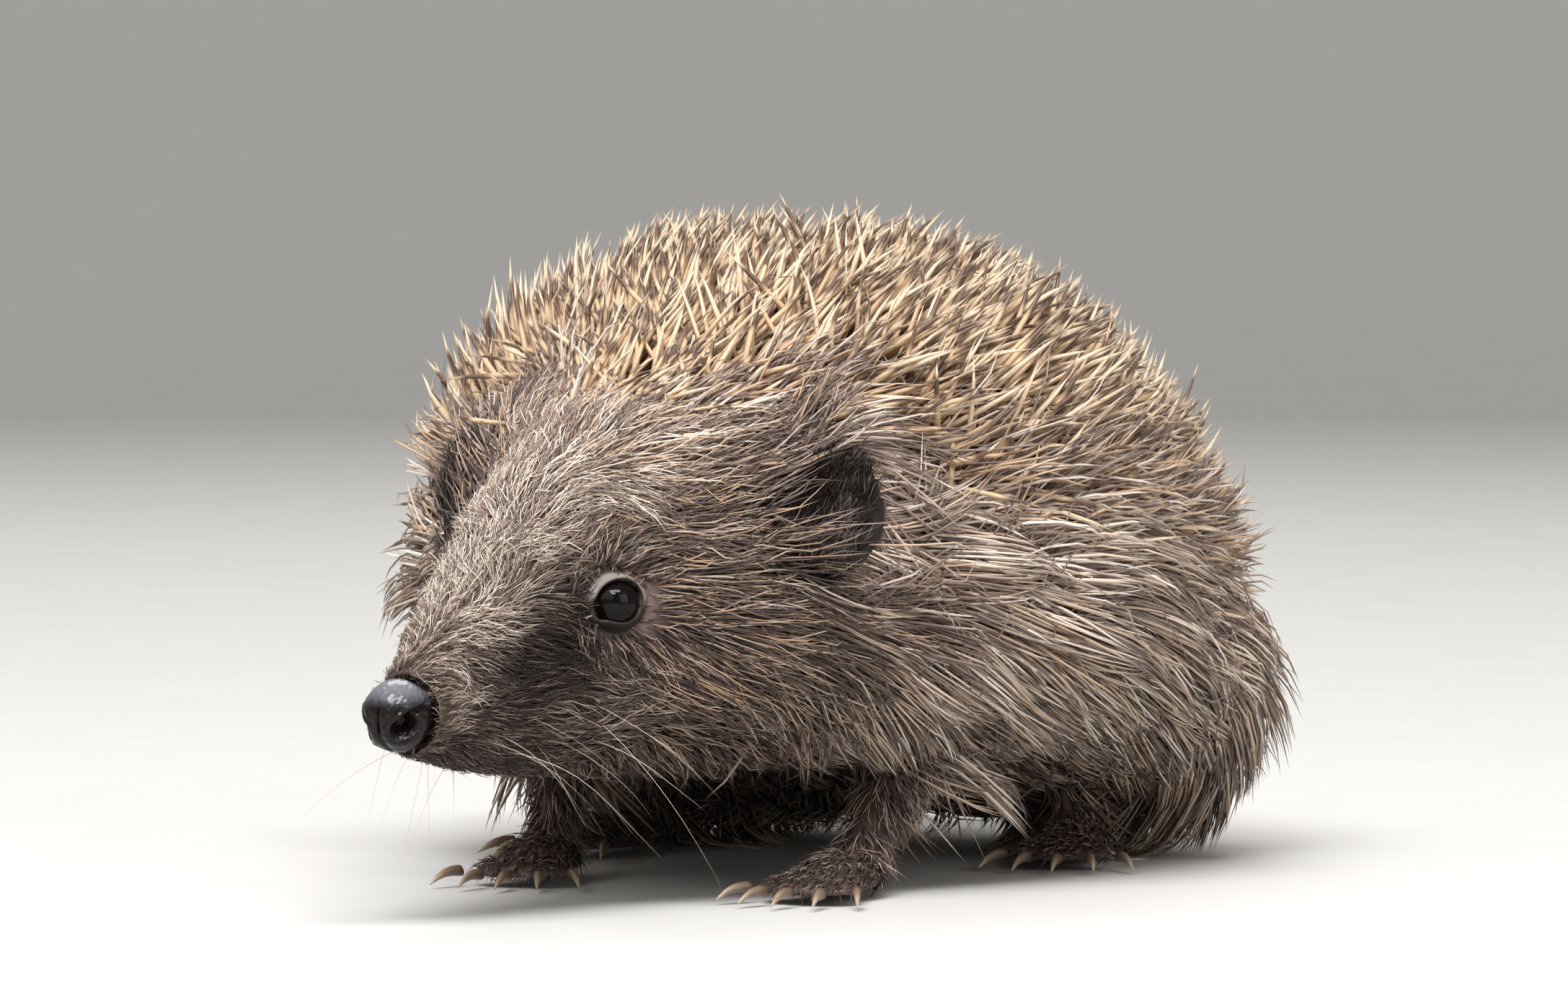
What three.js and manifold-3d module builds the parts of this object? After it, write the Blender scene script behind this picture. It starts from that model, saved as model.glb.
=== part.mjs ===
// A young European hedgehog standing on level ground, life size, in millimetres.
// +Z is up, the nose points to -Y and the animal's left side is +X. The origin is on the ground,
// under the middle of the bounding box. "behind" is the distance behind the tip of the nose.
// The head, jaw, neck and trunk are the outside of the coat: fur on the face, spines on the back.
import * as THREE from "three";
import { mergeVertices } from "three/addons/utils/BufferGeometryUtils.js";
import Module from "manifold-3d";

const wasm = await Module();
wasm.setup();

// ---- Driving dimensions -------------------------------------------------------------------------
const BODY_LENGTH = 154; // tip of the nose to the spine tips on the rump, along the spine
const GAP = 0.3; // left between neighbouring solids
const RUMP_ROUNDING = 34; // length over which the rump closes
const SNOUT_ROUNDING = 4;
const RUMP_CENTRE_HEIGHT = 26;
const HEAD_TURN = 0.19; // radians that the head is turned to the animal's right
const TURN = { start: 48, end: 76 }; // the stretch of neck that bends

const NOSE = { behind: 4.5, height: 23.5, radius: 3.75, stretch: [1, 1.12, 1.08] };
const NOSE_BACK = 5.8; // where bare nose meets fur
const NOSE_GROOVE = { width: 0.5, depth: 1, height: 6, drop: 2.2 }; // cut this deep into the tip
// The rest of the nose is placed from the middle of the nose: [side, back, up].
const NOSE_WING = { at: [1.9, -1.2, -0.7], radii: [2.1, 2.5, 2.3] };
const NOSTRIL = {
  points: [[4.7, -2.6, -0.4], [2.7, -1.6, -0.7], [1.9, 0.4, 0.3]],
  radii: [1.15, 0.95, 0.6],
};
const MOUTH = { front: 9.5, back: 31, frontHeight: 19.6, backHeight: 20.6 };
const EYE = { behind: 31.2, side: 10.1, height: 34.7, radius: 2.8 };
const EAR = { behind: 51.5, side: 25.6, height: 44.4, width: 6, tall: 7.6, depth: 4.8, wall: 1.3 };
const EAR_POSE = { lean: -0.15, tilt: 0.3, flare: 0.62 }; // radians; flare turns its hollow outwards
const HEAD_END = 61; // the head stops behind the ears
const NECK_END = 71;
const COLLAR_LEAN = 0.22; // how far the cuts at the neck lean back, as a slope

// The coat's outline, each line through [distance behind the nose tip, value].
const BACK_HEIGHT = curve([4, 27], [6.4, 28.2], [11.5, 33.6], [19, 41.5], [28, 49], [36, 54.2], [42, 59.3],
  [50, 65.6], [62, 71.8], [76, 76.6], [90, 79.3], [102, 78.9], [114, 75.5], [128, 67.5], [154, 53]);
const BELLY_HEIGHT = curve([4, 19.9], [6.4, 19.1], [10, 17.8], [20, 15.8], [32, 14.6], [60, 13], [85, 11.5],
  [105, 7.5], [125, 3.2], [154, 3]);
const HALF_WIDTH = curve([4, 3.6], [6.4, 4.1], [11, 6.1], [18, 8.6], [33, 12.6], [42, 19], [50, 25.5],
  [60, 35], [70, 42.5], [82, 48.5], [98, 51.5], [114, 52], [130, 48], [154, 37]);
const WIDEST_HEIGHT = curve([4, 23.5], [18, 25.5], [33, 29], [44, 31.5], [60, 34], [80, 35], [114, 27],
  [154, 24]);
// Exponents of the superellipse that each section follows, above and below its widest line.
const BACK_ROUNDNESS = curve([4, 2.1], [40, 2.15], [60, 2.25], [80, 2.3], [110, 2.2], [154, 2.1]);
const BELLY_ROUNDNESS = curve([4, 2.3], [60, 2.4], [95, 2.6], [125, 3.2], [154, 2.8]);
const COAT_RINGS = 33;
const COAT_SIDES = 26;
const BALL_SEGMENTS = [14, 10]; // round the eyes, the ears and the nose, and from pole to pole

// Swellings and hollows of the face, at an angle up from the widest line, with their reach along
// the head and around it. Each is on both sides.
const FACE_FORMS = [
  { behind: 13, angle: -0.3, along: 5.5, around: 0.5, rise: 0.8 }, // whisker pad
  { behind: 23, angle: 0.35, along: 6, around: 0.3, rise: -0.9 }, // groove from the eye to the nose
  { behind: 31, angle: 0.42, along: 4.5, around: 0.28, rise: -1.1 }, // eye socket
  { behind: 32, angle: 0.95, along: 6, around: 0.3, rise: 0.7 }, // brow
  { behind: 43, angle: -0.1, along: 7, around: 0.5, rise: 0.9 }, // cheek
];

// Each leg is a chain of [side, behind, height] with a radius at each joint, on the left side.
const LEGS = {
  front: { points: [[20, 70, 34], [22.5, 76, 20], [21, 67, 5.5]], radii: [8.5, 6, 3.6], toeIn: 0.1 },
  hind: { points: [[22, 110, 33], [27, 107, 20], [26, 118, 6.5]], radii: [11, 8, 3.8], toeIn: -0.22 },
};
const FEET = {
  front: { length: 17, width: 10.5, thick: 6.2, toe: 6.2, toeRadius: 1.45, claw: 4.6, clawRadius: 0.62 },
  hind: { length: 25, width: 10, thick: 6, toe: 6.6, toeRadius: 1.5, claw: 5, clawRadius: 0.66 },
};
// How far each foot stands ahead of the leg's rest place, for an easy walking stance.
const STRIDE = { front_left: 2.5, front_right: -3, hind_left: -3.5, hind_right: 3.5 };
const TOES = 5;
const TOE_SPREAD = 0.95; // from the first toe's direction to the last, in radians
// Where the toes grow, as shares of the foot's length and width, and how the outer ones fall short.
const TOE_ROOTS = { forward: 0.78, across: 0.36, setBack: 1.4, shorter: 0.16 };
const SOLE_CUT = 0.5; // how much of each round pad is planed off flat at ground level
// The tail's line is [back, up] from its place, with a radius at each point.
const TAIL = { behind: 140, height: 16, line: [[-6, 5], [0, 1], [9.35, -5]], radii: [4.6, 3.4, 1.53] };

// ---- Materials ----------------------------------------------------------------------------------
const material = (color, roughness) => new THREE.MeshStandardMaterial({ color, roughness, metalness: 0 });
const SPINES = material(0xa8917c, 0.7);
const FACE_FUR = material(0x7d6c64, 0.85);
const BARE_NOSE = material(0x2a2628, 0.25);
const EYEBALL = material(0x0b0a0b, 0.06);
const BARE_SKIN = material(0x4a3c38, 0.7);
const HORN = material(0x6b5a4c, 0.45);

// ---- Curves and closed surfaces -----------------------------------------------------------------
// A smooth function through [x, y] points that doesn't overshoot between them.
function curve(...points) {
  const slopes = points.slice(1).map(([x, y], i) => (y - points[i][1]) / (x - points[i][0]));
  const tangents = points.map((_, i) => {
    const before = slopes[Math.max(i - 1, 0)];
    const after = slopes[Math.min(i, slopes.length - 1)];
    return before * after <= 0 ? 0 : (2 * before * after) / (before + after);
  });
  return (x) => {
    const last = points.length - 2;
    const i = THREE.MathUtils.clamp(points.findIndex(([px]) => px > x) - 1, 0, last);
    const at = x >= points[last + 1][0] ? last : i;
    const [x0, y0] = points[at];
    const [x1, y1] = points[at + 1];
    const span = x1 - x0;
    const t = (x - x0) / span;
    return y0 * (1 + 2 * t) * (1 - t) ** 2 + tangents[at] * span * t * (1 - t) ** 2
      + y1 * t * t * (3 - 2 * t) - tangents[at + 1] * span * t * t * (1 - t);
  };
}

// A closed surface over rings of equal length, each end drawn in to a point.
function closedRings(first, rings, last) {
  const around = rings[0].length;
  const places = [first, ...rings.flat(), last];
  const faces = [];
  const at = (ring, i) => 1 + ring * around + (i % around);
  for (let i = 0; i < around; i++) {
    faces.push(0, at(0, i + 1), at(0, i));
    faces.push(places.length - 1, at(rings.length - 1, i), at(rings.length - 1, i + 1));
    for (let ring = 0; ring + 1 < rings.length; ring++) {
      faces.push(at(ring, i), at(ring, i + 1), at(ring + 1, i));
      faces.push(at(ring, i + 1), at(ring + 1, i + 1), at(ring + 1, i));
    }
  }
  const geometry = new THREE.BufferGeometry();
  const numbers = places.flatMap((each) => each.toArray());
  geometry.setAttribute("position", new THREE.Float32BufferAttribute(numbers, 3));
  return geometry.setIndex(faces);
}

// A three.js geometry as a solid that can be joined and cut.
function solid(geometry) {
  const bare = geometry.clone();
  bare.deleteAttribute("normal");
  bare.deleteAttribute("uv");
  const merged = mergeVertices(bare, 1e-4);
  const made = new wasm.Manifold(new wasm.Mesh({
    numProp: 3,
    vertProperties: merged.attributes.position.array,
    triVerts: new Uint32Array(merged.index.array),
  }));
  if (made.volume() > 0) return made;
  const turned = merged.index.array.map((_, i, all) => all[i % 3 === 1 ? i + 1 : i % 3 === 2 ? i - 1 : i]);
  return new wasm.Manifold(new wasm.Mesh({
    numProp: 3,
    vertProperties: merged.attributes.position.array,
    triVerts: new Uint32Array(turned),
  }));
}

function namedMesh(name, shape, look) {
  const { numProp, vertProperties, triVerts } = shape.getMesh();
  const geometry = new THREE.BufferGeometry();
  const buffer = new THREE.InterleavedBuffer(vertProperties, numProp);
  const places = new THREE.Float32BufferAttribute((vertProperties.length / numProp) * 3, 3);
  for (let i = 0; i < places.count; i++) {
    const start = i * buffer.stride;
    places.setXYZ(i, ...buffer.array.subarray(start, start + 3));
  }
  geometry.setAttribute("position", places);
  geometry.setIndex(new THREE.BufferAttribute(triVerts, 1));
  geometry.computeVertexNormals();
  const mesh = new THREE.Mesh(geometry, look);
  mesh.name = name;
  return mesh;
}

const join = (shapes) => shapes.reduce((all, one) => all.add(one));
const UP = new THREE.Vector3(0, 0, 1);

// The side of a plane through a point that its normal points into.
function halfSpace(point, normal) {
  const size = 600;
  const block = new THREE.BoxGeometry(size, size, size).translate(0, 0, size / 2);
  const turn = new THREE.Quaternion().setFromUnitVectors(UP, normal.clone().normalize());
  block.applyQuaternion(turn).translate(point.x, point.y, point.z);
  return solid(block);
}

// A round, tapered tube along points, with a ball at each end.
function limb(points, radii, sides, steps, capLifts = [0.5, 1.05]) {
  const path = new THREE.CatmullRomCurve3(points, false, "centripetal");
  const size = curve(...radii.map((radius, i) => [i / (radii.length - 1), radius]));
  const stations = steps * (points.length - 1);
  const frames = path.computeFrenetFrames(stations, false);
  const ring = (centre, k, radius) => Array.from({ length: sides }, (_, i) => {
    const angle = (2 * Math.PI * i) / sides;
    return centre.clone()
      .addScaledVector(frames.normals[k], radius * Math.cos(angle))
      .addScaledVector(frames.binormals[k], radius * Math.sin(angle));
  });
  const cap = (centre, k, radius, out) => capLifts.map((lift) => {
    const middle = centre.clone().addScaledVector(frames.tangents[k], out * radius * Math.sin(lift));
    return ring(middle, k, radius * Math.cos(lift));
  });
  const [start, end] = [path.getPoint(0), path.getPoint(1)];
  const [thick, thin] = [size(0), size(1)];
  const tube = Array.from({ length: stations + 1 },
    (_, k) => ring(path.getPointAt(k / stations), k, size(k / stations)));
  const rings = [...cap(start, 0, thick, -1).reverse(), ...tube, ...cap(end, stations, thin, 1)];
  return solid(closedRings(
    start.clone().addScaledVector(frames.tangents[0], -thick), rings,
    end.clone().addScaledVector(frames.tangents[stations], thin)));
}

// ---- Placing along the spine, which bends to the right between TURN.start and TURN.end ----------
const bendShare = (behind) => THREE.MathUtils.clamp((TURN.end - behind) / (TURN.end - TURN.start), 0, 1);
const turnAt = (behind) => HEAD_TURN * bendShare(behind);
const ahead = (behind) => new THREE.Vector3(-Math.sin(turnAt(behind)), -Math.cos(turnAt(behind)), 0);

function spinePoint(behind) {
  const radius = (TURN.end - TURN.start) / HEAD_TURN;
  const angle = turnAt(behind);
  const straight = Math.max(0, TURN.start - behind);
  const side = -radius * (1 - Math.cos(angle));
  const back = Math.max(behind, TURN.end) - radius * Math.sin(angle) - BODY_LENGTH / 2;
  return new THREE.Vector3(side, back, 0).addScaledVector(ahead(behind), straight);
}

function place(side, behind, height) {
  const left = new THREE.Vector3(-ahead(behind).y, ahead(behind).x, 0);
  return spinePoint(behind).addScaledVector(left, side).setZ(height);
}

function ball([side, behind, height], radii, columns, rows) {
  const sphere = new THREE.SphereGeometry(1, columns, rows).rotateX(Math.PI / 2).scale(...radii);
  return solid(sphere.rotateZ(-turnAt(behind)).translate(...place(side, behind, height).toArray()));
}

// ---- The coat's outside from snout to rump ------------------------------------------------------
// How far the face swells or sinks at a place on a section, from its angle above the widest line.
function faceForm(behind, angle) {
  const upFromSide = Math.asin(Math.sin(angle));
  return FACE_FORMS.reduce((sum, form) => {
    const off = ((behind - form.behind) / form.along) ** 2 + ((upFromSide - form.angle) / form.around) ** 2;
    return sum + form.rise * Math.exp(-off);
  }, 0);
}

function coatSection(behind, grow, around) {
  const start = NOSE.behind - SNOUT_ROUNDING / 4;
  const rumpShare = Math.max(0, (behind - BODY_LENGTH + RUMP_ROUNDING) / RUMP_ROUNDING);
  const snoutShare = Math.max(0, (start + SNOUT_ROUNDING - behind) / SNOUT_ROUNDING);
  const rounded = (share) => Math.sqrt(Math.max(0, 1 - share ** 2));
  const closing = rounded(rumpShare) * rounded(snoutShare);
  const hub = snoutShare > 0 ? NOSE.height : RUMP_CENTRE_HEIGHT;
  const draw = (value) => hub + (value - hub) * closing;
  const [top, bottom, middle] = [BACK_HEIGHT, BELLY_HEIGHT, WIDEST_HEIGHT]
    .map((line) => draw(line(behind)));
  const half = HALF_WIDTH(behind) * closing + grow;
  return Array.from({ length: around }, (_, i) => {
    const angle = (2 * Math.PI * i) / around;
    const [across, up] = [Math.cos(angle), Math.sin(angle)];
    const power = 2 / (up > 0 ? BACK_ROUNDNESS : BELLY_ROUNDNESS)(behind);
    const rise = up > 0 ? top + grow - middle : middle - bottom + grow;
    const swell = faceForm(behind, angle) * closing;
    return place(Math.sign(across) * half * Math.abs(across) ** power + across * swell, behind,
      middle + Math.sign(up) * rise * Math.abs(up) ** power + up * swell);
  });
}

function coat(grow = 0) {
  const first = NOSE.behind - SNOUT_ROUNDING / 4;
  // The rings stand closer together on the head and the rump.
  const spread = curve([0, 0], [0.5, 0.3], [0.85, 0.82], [0.95, 0.975], [1, 1]);
  const sections = Array.from({ length: COAT_RINGS }, (_, i) => {
    const share = spread((i + 1) / (COAT_RINGS + 1));
    return coatSection(first + (BODY_LENGTH - first) * share, grow, COAT_SIDES);
  });
  return solid(closedRings(place(0, first - grow, NOSE.height), sections,
    place(0, BODY_LENGTH + grow, RUMP_CENTRE_HEIGHT)));
}

// ---- Head ---------------------------------------------------------------------------------------
const faceAhead = ahead(0);
const faceBack = faceAhead.clone().negate();

// The rear or front side of a leaning cut through the neck.
function collarCut(behind, shift, towardsRump) {
  const normal = ahead(behind).negate().addScaledVector(UP, -COLLAR_LEAN).normalize();
  const point = place(0, behind, WIDEST_HEIGHT(behind) + 8).addScaledVector(normal, shift);
  return halfSpace(point, normal.multiplyScalar(towardsRump ? 1 : -1));
}

const onNose = (side, [x, back, up]) => [side * x, NOSE.behind + back, NOSE.height + up];

function bareNose(grow = 0) {
  const bulbRadii = NOSE.stretch.map((stretch) => stretch * (NOSE.radius + grow));
  const wingRadii = NOSE_WING.radii.map((radius) => radius + grow);
  const wings = [-1, 1].map((side) => ball(onNose(side, NOSE_WING.at), wingRadii, 8, 6));
  return join([ball(onNose(1, [0, 0, 0]), bulbRadii, ...BALL_SEGMENTS), ...wings]);
}

function nostril(side) {
  return limb(NOSTRIL.points.map((point) => place(...onNose(side, point))), NOSTRIL.radii, 6, 1, [0.7]);
}

function nose() {
  const { width, depth, height, drop } = NOSE_GROOVE;
  const back = halfSpace(place(0, NOSE_BACK - GAP / 2, NOSE.height), faceAhead);
  const groove = solid(new THREE.BoxGeometry(width, depth * 2, height).rotateZ(-HEAD_TURN)
    .translate(...place(0, 0, NOSE.height - drop).toArray()));
  return bareNose().intersect(back).subtract(nostril(-1)).subtract(nostril(1)).subtract(groove);
}

const eyeBall = (side, grow = 0) => ball([side * EYE.side, EYE.behind, EYE.height],
  Array(3).fill(EYE.radius + grow), ...BALL_SEGMENTS);

// A shallow cup with its hollow facing forward and out, as its whole outside, its hollow, and the
// side left open.
function earShapes(side, grow = 0) {
  const { width, tall, depth, wall } = EAR;
  const { lean, tilt, flare } = EAR_POSE;
  const shell = (shrink) => new THREE.SphereGeometry(1, ...BALL_SEGMENTS)
    .scale(width - shrink, depth - shrink, tall - shrink);
  const hollow = shell(wall).translate(0, -wall * 1.2, 0);
  const open = new THREE.BoxGeometry(60, 60, 60).translate(0, -30 - depth * 0.05, 0);
  const pose = new THREE.Euler(lean, side * tilt, side * flare, "ZXY");
  const turn = new THREE.Matrix4().makeRotationFromEuler(pose);
  const seat = place(side * EAR.side, EAR.behind, EAR.height);
  return [shell(-grow), hollow, open].map((shape) => solid(
    shape.applyMatrix4(turn).rotateZ(-HEAD_TURN).translate(seat.x, seat.y, seat.z)));
}

function ear(side) {
  const [outside, hollow, open] = earShapes(side);
  return outside.subtract(hollow).subtract(open);
}

// The lower jaw is what lies under a plane through the mouth line.
function jawBlock(grow) {
  const run = MOUTH.back - MOUTH.front;
  const down = faceAhead.clone().multiplyScalar(MOUTH.frontHeight - MOUTH.backHeight)
    .addScaledVector(UP, -run).normalize();
  const lip = place(0, MOUTH.front, MOUTH.frontHeight).addScaledVector(down, -grow);
  return halfSpace(lip, down)
    .intersect(halfSpace(place(0, MOUTH.back + grow, 0), faceAhead))
    .intersect(halfSpace(place(0, MOUTH.front - grow, 0), faceBack));
}

// ---- Legs, feet and tail ------------------------------------------------------------------------
function legPoints(kind, side, stride) {
  return LEGS[kind].points.map(([x, behind, height], i, all) => {
    const share = i / (all.length - 1);
    return place(side * x, behind - stride * share ** 2, height);
  });
}

function leg(kind, side, stride, grow = 0) {
  return limb(legPoints(kind, side, stride), LEGS[kind].radii.map((r) => r + grow), 8, 2);
}

// The sole runs forward from under the ankle. Toe directions fan out from it.
function footFrame(kind, side, stride) {
  const ankle = legPoints(kind, side, stride).at(-1);
  const angle = side * LEGS[kind].toeIn;
  return { ankle, toesAhead: new THREE.Vector3(-Math.sin(angle), -Math.cos(angle), 0) };
}

function foot(kind, side, stride) {
  const { length, width, thick, toeRadius } = FEET[kind];
  const { ankle, toesAhead } = footFrame(kind, side, stride);
  const palm = new THREE.SphereGeometry(1, 9, 6).rotateX(Math.PI / 2)
    .scale(width / 2, length / 2, thick / 2).rotateZ(Math.atan2(toesAhead.x, -toesAhead.y));
  const centre = ankle.clone().addScaledVector(toesAhead, length / 2 - LEGS[kind].radii.at(-1))
    .setZ(thick / 2 - SOLE_CUT);
  const toes = toeLines(kind, side, stride).map(({ root, tip }) => limb(
    [root, root.clone().lerp(tip, 0.5).setZ(toeRadius * 1.5), tip],
    [toeRadius * 0.95, toeRadius * 1.1, toeRadius], 5, 1, [0.7]));
  return join([solid(palm.translate(...centre.toArray())), ...toes]);
}

function toeLines(kind, side, stride) {
  const { length, width, toe, toeRadius } = FEET[kind];
  const { forward, across: sideways, setBack, shorter } = TOE_ROOTS;
  const { ankle, toesAhead } = footFrame(kind, side, stride);
  const across = new THREE.Vector3(-toesAhead.y, toesAhead.x, 0);
  return Array.from({ length: TOES }, (_, i) => {
    const share = (i / (TOES - 1) - 0.5) * 2;
    const along = toesAhead.clone().applyAxisAngle(UP, (share * TOE_SPREAD) / 2);
    const root = ankle.clone()
      .addScaledVector(toesAhead, length * forward - LEGS[kind].radii.at(-1) - setBack * share ** 2)
      .addScaledVector(across, share * width * sideways).setZ(toeRadius * 1.25);
    const reach = toe * (1 - shorter * share ** 2);
    return { root, along, tip: root.clone().addScaledVector(along, reach).setZ(toeRadius - SOLE_CUT / 2) };
  });
}

// A claw starts a gap beyond its toe and curves down to just above the ground.
function claw({ tip, along }, { claw: length, clawRadius, toeRadius }) {
  const start = toeRadius + clawRadius + GAP;
  const at = (share, height) => tip.clone().addScaledVector(along, start + share * length).setZ(height);
  return limb([at(0, toeRadius * 1.1), at(0.4, toeRadius), at(0.8, toeRadius * 0.4)],
    [clawRadius, clawRadius * 0.85, clawRadius * 0.4], 5, 1, []);
}

function tail(grow = 0) {
  const { behind, height, line, radii } = TAIL;
  const points = line.map(([back, up]) => place(0, behind + back, height + up));
  return limb(points, radii.map((radius) => radius + grow), 8, 2);
}

// ---- Assembly -----------------------------------------------------------------------------------
const hedgehog = new THREE.Group();
const parts = new Map();
const SIDES = { left: 1, right: -1 };
const aboveGround = halfSpace(new THREE.Vector3(), UP);

let body = coat();

for (const [name, side] of Object.entries(SIDES)) {
  parts.set(`eye_${name}`, [eyeBall(side), EYEBALL]);
  parts.set(`ear_${name}`, [ear(side), BARE_SKIN]);
  body = body.subtract(eyeBall(side, GAP)).subtract(earShapes(side, GAP)[0]);
  for (const kind of Object.keys(LEGS)) {
    const limbName = `${kind}_${name}`;
    const stride = STRIDE[limbName];
    const wholeLeg = leg(kind, side, stride);
    const legGrown = leg(kind, side, stride, GAP);
    toeLines(kind, side, stride).forEach((line, i) => {
      parts.set(`claw_${limbName}_${i + 1}`, [claw(line, FEET[kind]), HORN]);
    });
    const footShape = foot(kind, side, stride).intersect(aboveGround).subtract(legGrown);
    parts.set(`foot_${limbName}`, [footShape, BARE_SKIN]);
    parts.set(`leg_${limbName}`, [wholeLeg.intersect(aboveGround), FACE_FUR]);
    body = body.subtract(legGrown);
  }
}

parts.set("tail", [tail(), FACE_FUR]);
body = body.subtract(tail(GAP));

const head = body.intersect(collarCut(HEAD_END, -GAP / 2, false));
const behindNose = halfSpace(place(0, NOSE_BACK + GAP / 2, NOSE.height), faceBack);
const neck = body.intersect(collarCut(HEAD_END, GAP / 2, true))
  .intersect(collarCut(NECK_END, -GAP / 2, false));
parts.set("nose", [nose(), BARE_NOSE]);
parts.set("head", [head.intersect(behindNose).subtract(jawBlock(GAP)).subtract(bareNose(GAP)), FACE_FUR]);
parts.set("lower_jaw", [coat().intersect(jawBlock(0)), FACE_FUR]);
parts.set("neck", [neck, SPINES]);
parts.set("trunk", [body.intersect(collarCut(NECK_END, GAP / 2, true)), SPINES]);

for (const [name, [shape, look]] of parts) hedgehog.add(namedMesh(name, shape, look));
const middle = new THREE.Box3().setFromObject(hedgehog).getCenter(new THREE.Vector3());
hedgehog.position.set(-middle.x, -middle.y, 0);

export default hedgehog;
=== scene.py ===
"""Looks of the young hedgehog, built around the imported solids.

Lengths inside this script are millimetres, and turn into metres when a mesh is made. A place on the
body is [behind the tip of the nose, side, height], measured along the spine, which bends in the neck.
"""
import math

import bmesh
import bpy
import numpy as np
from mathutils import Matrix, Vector
from mathutils.bvhtree import BVHTree
from mathutils.kdtree import KDTree


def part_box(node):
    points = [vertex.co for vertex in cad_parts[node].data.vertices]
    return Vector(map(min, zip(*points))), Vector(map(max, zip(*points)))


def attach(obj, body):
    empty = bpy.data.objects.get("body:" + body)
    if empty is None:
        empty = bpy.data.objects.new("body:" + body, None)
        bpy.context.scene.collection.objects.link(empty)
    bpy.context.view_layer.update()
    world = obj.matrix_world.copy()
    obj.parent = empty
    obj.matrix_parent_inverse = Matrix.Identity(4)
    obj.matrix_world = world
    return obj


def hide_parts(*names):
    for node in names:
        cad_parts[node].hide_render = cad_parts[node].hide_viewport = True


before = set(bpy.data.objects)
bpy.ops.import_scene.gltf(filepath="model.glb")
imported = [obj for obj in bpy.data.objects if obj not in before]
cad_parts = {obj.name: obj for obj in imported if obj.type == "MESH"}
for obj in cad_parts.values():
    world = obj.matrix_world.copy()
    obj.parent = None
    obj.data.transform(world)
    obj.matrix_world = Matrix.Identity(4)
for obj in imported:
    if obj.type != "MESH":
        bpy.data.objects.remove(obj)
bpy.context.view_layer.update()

MM = 0.001
UP = np.array([0.0, 0.0, 1.0])
SIDES = {"left": 1, "right": -1}
KINDS = ("front", "hind")
TOES = 5
LIMBS = [f"{kind}_{side}" for kind in KINDS for side in SIDES]
BODY_NODES = ["head", "lower_jaw", "neck", "trunk"]
EAR_NODES = [f"ear_{side}" for side in SIDES]

# ---- Driving dimensions ----
BODY_LENGTH = 154  # nose tip to rump, along the spine
NECK_BEND = (48, 76)  # the stretch of spine that bends
MUZZLE_RIM = [(4.5, 3.8), (6.5, 4.0), (7.5, 4.4), (9.5, 4.9), (9.6, 0)]  # place and least radius
MUZZLE_REACH = 2.0  # how far the fur's edge comes forward over the nose
NOSE_AXIS_GAP = (1.4, 3.0)  # the muzzle is widened only outside these radii
NOSE_SUNK = 1.3  # how far the nose lies behind its solid, into the fur
MOUTH = [(9, -1.0), (31, 0)]  # the line of the lips, by height from the top of the jaw
LIP_FOLD = (0.75, 0.4)  # how deep and how wide the line between the lips is
LIP_SWELL = (0.2, 1.1, 0.6)  # how far the upper lip stands out, how far above, and how wide
EYE_RADIUS = 2.85
EYE_BULGE = 0.14  # how far its clear front stands out
EYE_OPENING = (2.66, 2.3)  # half width and half height of the opening between the lids
EYE_AXIS = (-0.47, 0.87, 0.14)  # where the left eye looks: back, left, up
EYE_PLACE = 30.0  # the place along the spine whose directions those are
INNER_CORNER = (-24, 20, 0.26)  # degrees above the forward side, how wide, and how far it reaches on
LID_RIDGE = (0.2, 0.36)  # how high the lower lid stands, and how much higher the upper
LID_FOLD = (0.42, 0.14)  # how deep the fold round the lower lid is, and how much less round the upper
FOLD_PLACE = (1.42, 0.24)  # the fold's share of the opening below, and how much more above
EAR_OPENING = (4.9, 6.9)  # half the width and half the height of the ear's hollow
EAR_SIDE = 8  # an ear is within this distance, to the side, of its solid's middle
EAR_DEPTH = 3.2  # how much deeper than the solid's the hollow is
EAR_INWARD = (-0.85, 0.35, -0.1)  # which way the left ear's hollow goes in
GAP_CLOSER = 0.4  # how far each solid swells, so that the gaps between them close
ROUGH_VOXEL = 0.9
SKIN_VOXEL = 0.8
MOUTH_REFINED = 2  # the skin within this distance of the mouth's line is made finer
EAR_REFINED = 9  # and within this distance of the middle of an ear
EYE_REFINED = (6.5, 5.4, 4.6)  # and, once for each, of the middle of an eye
GROUND = 0.25  # no hair comes nearer to the floor
BODY_CURVE = 42  # about how the trunk rounds, for hair that lies along it


def ramp_line(*points):
    """A function through [x, y] points, straight between them."""
    xs, ys = np.array(points, float).T
    return lambda x: np.interp(x, xs, ys)


def smooth_step(low, high, value):
    share = np.clip((np.asarray(value, float) - low) / (high - low), 0, 1)
    return share * share * (3 - 2 * share)


def window(value, low, high, edge):
    """From 0 outside low and high to 1 between them, over an edge of that width."""
    return smooth_step(low - edge, low + edge, value) * smooth_step(high + edge, high - edge, value)


def hump(value, middle, width):
    """A smooth rise to 1 at the middle."""
    return np.exp(-((value - middle) / width) ** 2)


def steps(count):
    """From 0 at the root to 1 at the tip of each strand."""
    return np.linspace(0, 1, count)[None, :, None]


def unit(vectors):
    return vectors / np.maximum(np.linalg.norm(vectors, axis=-1, keepdims=True), 1e-9)


# The spines start at this angle above the widest line of the body, in degrees.
SPINE_EDGE = ramp_line([37, 95], [38, 84], [40, 60], [47, 48], [54, 40], [58, 28], [63, 12], [70, 5],
                       [90, 2], [154, 0])
EDGE_WIDTH = 7  # over how many degrees to either side fur gives way to spines
FIRST_SPINES = (36, 38)  # where on the crown the spines start
BELLY = (-35, -70)  # the angles between which flank gives way to belly
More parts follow.
